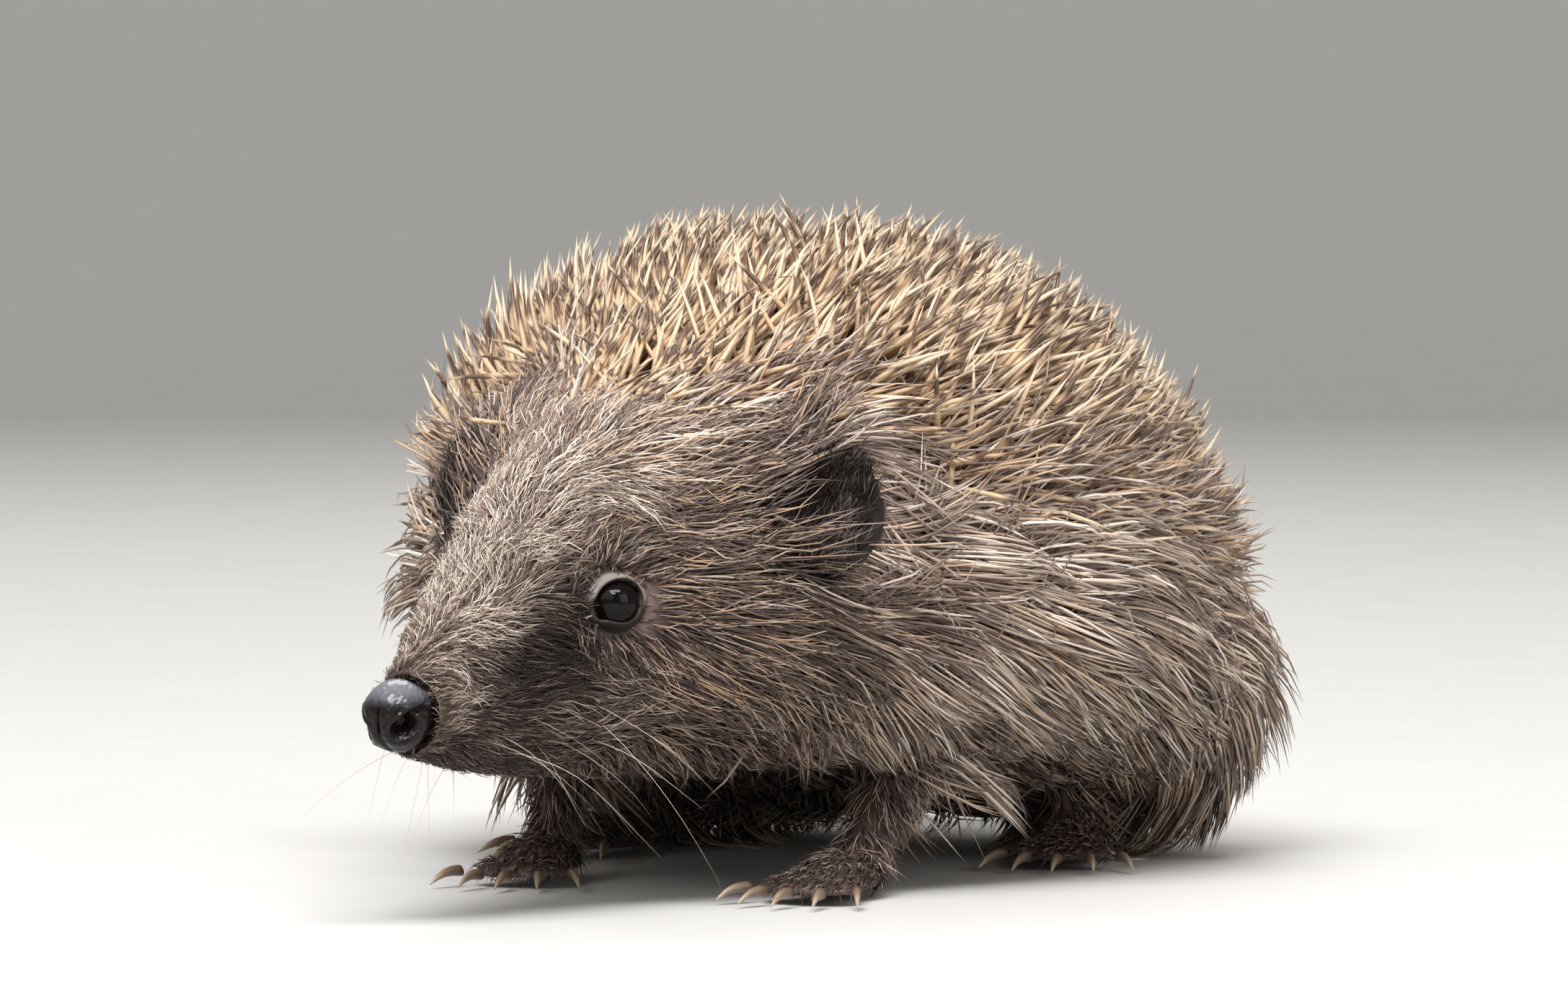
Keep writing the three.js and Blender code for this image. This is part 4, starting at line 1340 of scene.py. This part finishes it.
def grow_limbs():
    """Short hair on the legs, feet, tail and ears."""
    rng = np.random.default_rng(23)
    kinds = (LEG, FOOT, TAIL, EAR)
    weight = np.select([SKIN.kind == kind for kind in kinds], [1.0, 1.3, 1.0, 4.5], 0.0)
    weight = weight * smooth_step(1.0, 2.5, SKIN.point[:, 2])
    weight = weight * (1 - 0.75 * ear_hollow(SKIN.point, SKIN.normal))
    places = scatter(LIMB_HAIRS, weight, rng)
    count = len(places)
    lie = turned(limb_lie(places), places.normal, np.radians(rng.normal(0, 16, count)))
    length = np.select([places.kind == kind for kind in kinds], [4.8, 2.2, 5.0, 2.8])
    length = varied(length, 0.7, 1.15, rng)
    rise = np.minimum(varied(places.depth, 0.4, 1.0, rng) + 0.25, length * 0.5)
    paths = wavy(strand_paths(places, lie, length, rise, 4), length * 0.05, rng)
    thickness = varied(np.where(places.kind == FOOT, 0.15, 0.2), 0.8, 1.2, rng)
    material = fur_material("limb_hair", 0.6, 0.45, 0.2, -0.1)
    add_coat("limb_hair", material, places, paths, thickness, FUR_TAPER, FUR_SIDES,
             tones(count, 0.25, rng))


WHISKERS = 20
WHISKER_TRIES = 600
WHISKER_GAP = 2.4
WHISKER_STATIONS = 10
WHISKER_SIDES = 5
WHISKER_TAPER = [(0, 1.0), (0.5, 0.7), (1, 0)]


def grow_whiskers():
    """Long stiff hairs from the sides of the muzzle and the cheeks, which curve out, back and down."""
    rng = np.random.default_rng(29)
    weight = window(SKIN.behind, 10, 34, 3) * window(SKIN.angle, -50, -12, 8) * (SKIN.kind == BODY)
    places = spaced(scatter(WHISKER_TRIES, weight + NEVER_ZERO, rng), WHISKER_GAP)
    places = places.take(rng.permutation(len(places))[:WHISKERS])
    count = len(places)
    direction = body_direction(places.behind, rng.uniform(-0.2, 1.2, count), places.sign * 0.8,
                               rng.uniform(-1.0, -0.1, count))
    length = rng.uniform(9, 23, count)
    t = steps(WHISKER_STATIONS)
    paths = places.point[:, None] + direction[:, None] * (length[:, None, None] * t)
    droop = rng.uniform(0.2, 0.6, count) * length
    paths = wavy(paths - UP * (droop[:, None, None] * t ** 2.2), length * 0.012, rng)
    material = fur_material("whisker", 0.1, 0.3, 0.1, 0.5)
    thickness = rng.uniform(0.055, 0.085, count)
    add_coat("whiskers", material, places, paths, thickness, WHISKER_TAPER, WHISKER_SIDES,
             tones(count, 0.8, rng))


grow_spines()
grow_face()
grow_under()
grow_guard()
grow_mixed()
grow_limbs()
grow_whiskers()


# ---- Camera, floor and light ----
IMAGE = (2175, 1378)
NOSE_PIXEL = (544, 993)
CAMERA_AZIMUTH = 22
CAMERA_HEIGHT = 2.5
CAMERA_DISTANCE = 900
PIXELS_PER_MM = 12.8  # at the nose
SENSOR = 36
# Each light's name, azimuth, height and distance in metres, its width and height, watts and colour.
LIGHTS = [
    ("key", 18, 62, 1.15, (1.0, 0.28), 15, (1.0, 0.975, 0.955)),
    ("soft", -25, 42, 1.6, (2.0, 1.4), 9, (1.0, 0.97, 0.94)),
    ("fill", 70, 22, 1.5, (0.9, 0.9), 5, (1.0, 0.97, 0.95)),
    ("rim", 200, 50, 1.3, (0.9, 0.5), 6, (1.0, 0.97, 0.93)),
    ("catch", 8, 48, 1.0, (0.32, 0.12), 3.2, (0.97, 0.98, 1.0)),
]
LIGHTS_AIM = (0, 0, 0.03)
WORLD_COLOUR = (1.0, 0.975, 0.965, 1)
WORLD_STRENGTH = 0.35
# The stage, in metres: the flat floor's radius, the bend up from it, the wall, and its sides.
FLOOR_FLAT = 1.6
FLOOR_BEND = 0.6
FLOOR_WALL = 1.2
FLOOR_SIDES = 96


def outwards(azimuth, height):
    """The direction from the model towards a place at those degrees round it and up."""
    turn, rise = math.radians(azimuth), math.radians(height)
    return math.sin(turn) * math.cos(rise), -math.cos(turn) * math.cos(rise), math.sin(rise)


def make_camera():
    away = np.array(outwards(CAMERA_AZIMUTH, CAMERA_HEIGHT))
    turn = math.radians(CAMERA_AZIMUTH)
    right = np.array([math.cos(turn), math.sin(turn), 0.0])
    up = np.cross(away, right)
    aim = (NOSE + right * (IMAGE[0] / 2 - NOSE_PIXEL[0]) / PIXELS_PER_MM
           - up * (IMAGE[1] / 2 - NOSE_PIXEL[1]) / PIXELS_PER_MM)
    lens = bpy.data.cameras.new("camera")
    lens.sensor_width = SENSOR
    lens.lens = PIXELS_PER_MM * CAMERA_DISTANCE * SENSOR / IMAGE[0]
    lens.clip_start = 0.01
    made = linked("camera", lens)
    made.location = Vector((aim + away * CAMERA_DISTANCE) * MM)
    made.rotation_euler = Vector(away).to_track_quat("Z", "Y").to_euler()
    bpy.context.scene.camera = made


def panel_light(name, azimuth, height, distance, size, power, colour):
    light = bpy.data.lights.new(name, "AREA")
    light.shape = "RECTANGLE"
    light.size, light.size_y = size
    light.energy = power
    light.color = colour
    made = linked(name, light)
    away = Vector(outwards(azimuth, height))
    made.location = away * distance + Vector(LIGHTS_AIM)
    made.rotation_euler = away.to_track_quat("Z", "Y").to_euler()


def make_stage():
    """A round floor that curves up to a low wall."""
    profile = [(FLOOR_FLAT * share, 0) for share in (0.3, 0.7)]
    profile += [(FLOOR_FLAT + FLOOR_BEND * math.sin(turn), FLOOR_BEND * (1 - math.cos(turn)))
                for turn in np.linspace(0, math.pi / 2, 12)]
    profile.append((FLOOR_FLAT + FLOOR_BEND, FLOOR_BEND + FLOOR_WALL))
    points = [(0, 0, 0)]
    for radius, height in profile:
        points += [(radius * math.cos(angle), radius * math.sin(angle), height)
                   for angle in np.linspace(0, math.tau, FLOOR_SIDES, endpoint=False)]
    spots = [(i, (i + 1) % FLOOR_SIDES) for i in range(FLOOR_SIDES)]
    faces = [(0, 1 + here, 1 + after) for here, after in spots]
    for start in range(1, 1 + (len(profile) - 1) * FLOOR_SIDES, FLOOR_SIDES):
        outer = start + FLOOR_SIDES
        faces += [(start + here, outer + here, outer + after, start + after) for here, after in spots]
    mesh = bpy.data.meshes.new("floor")
    mesh.from_pydata(points, [], faces)
    smooth_shaded(mesh)
    mesh.materials.append(floor_material())
    made = linked("floor", mesh)


def light_world():
    world = bpy.data.worlds.new("world")
    bpy.context.scene.world = world
    world.use_nodes = True
    background = world.node_tree.nodes["Background"]
    background.inputs["Color"].default_value = WORLD_COLOUR
    background.inputs["Strength"].default_value = WORLD_STRENGTH


make_camera()
make_stage()
for each_light in LIGHTS:
    panel_light(*each_light)
light_world()
bpy.context.scene.view_settings.view_transform = "Standard"
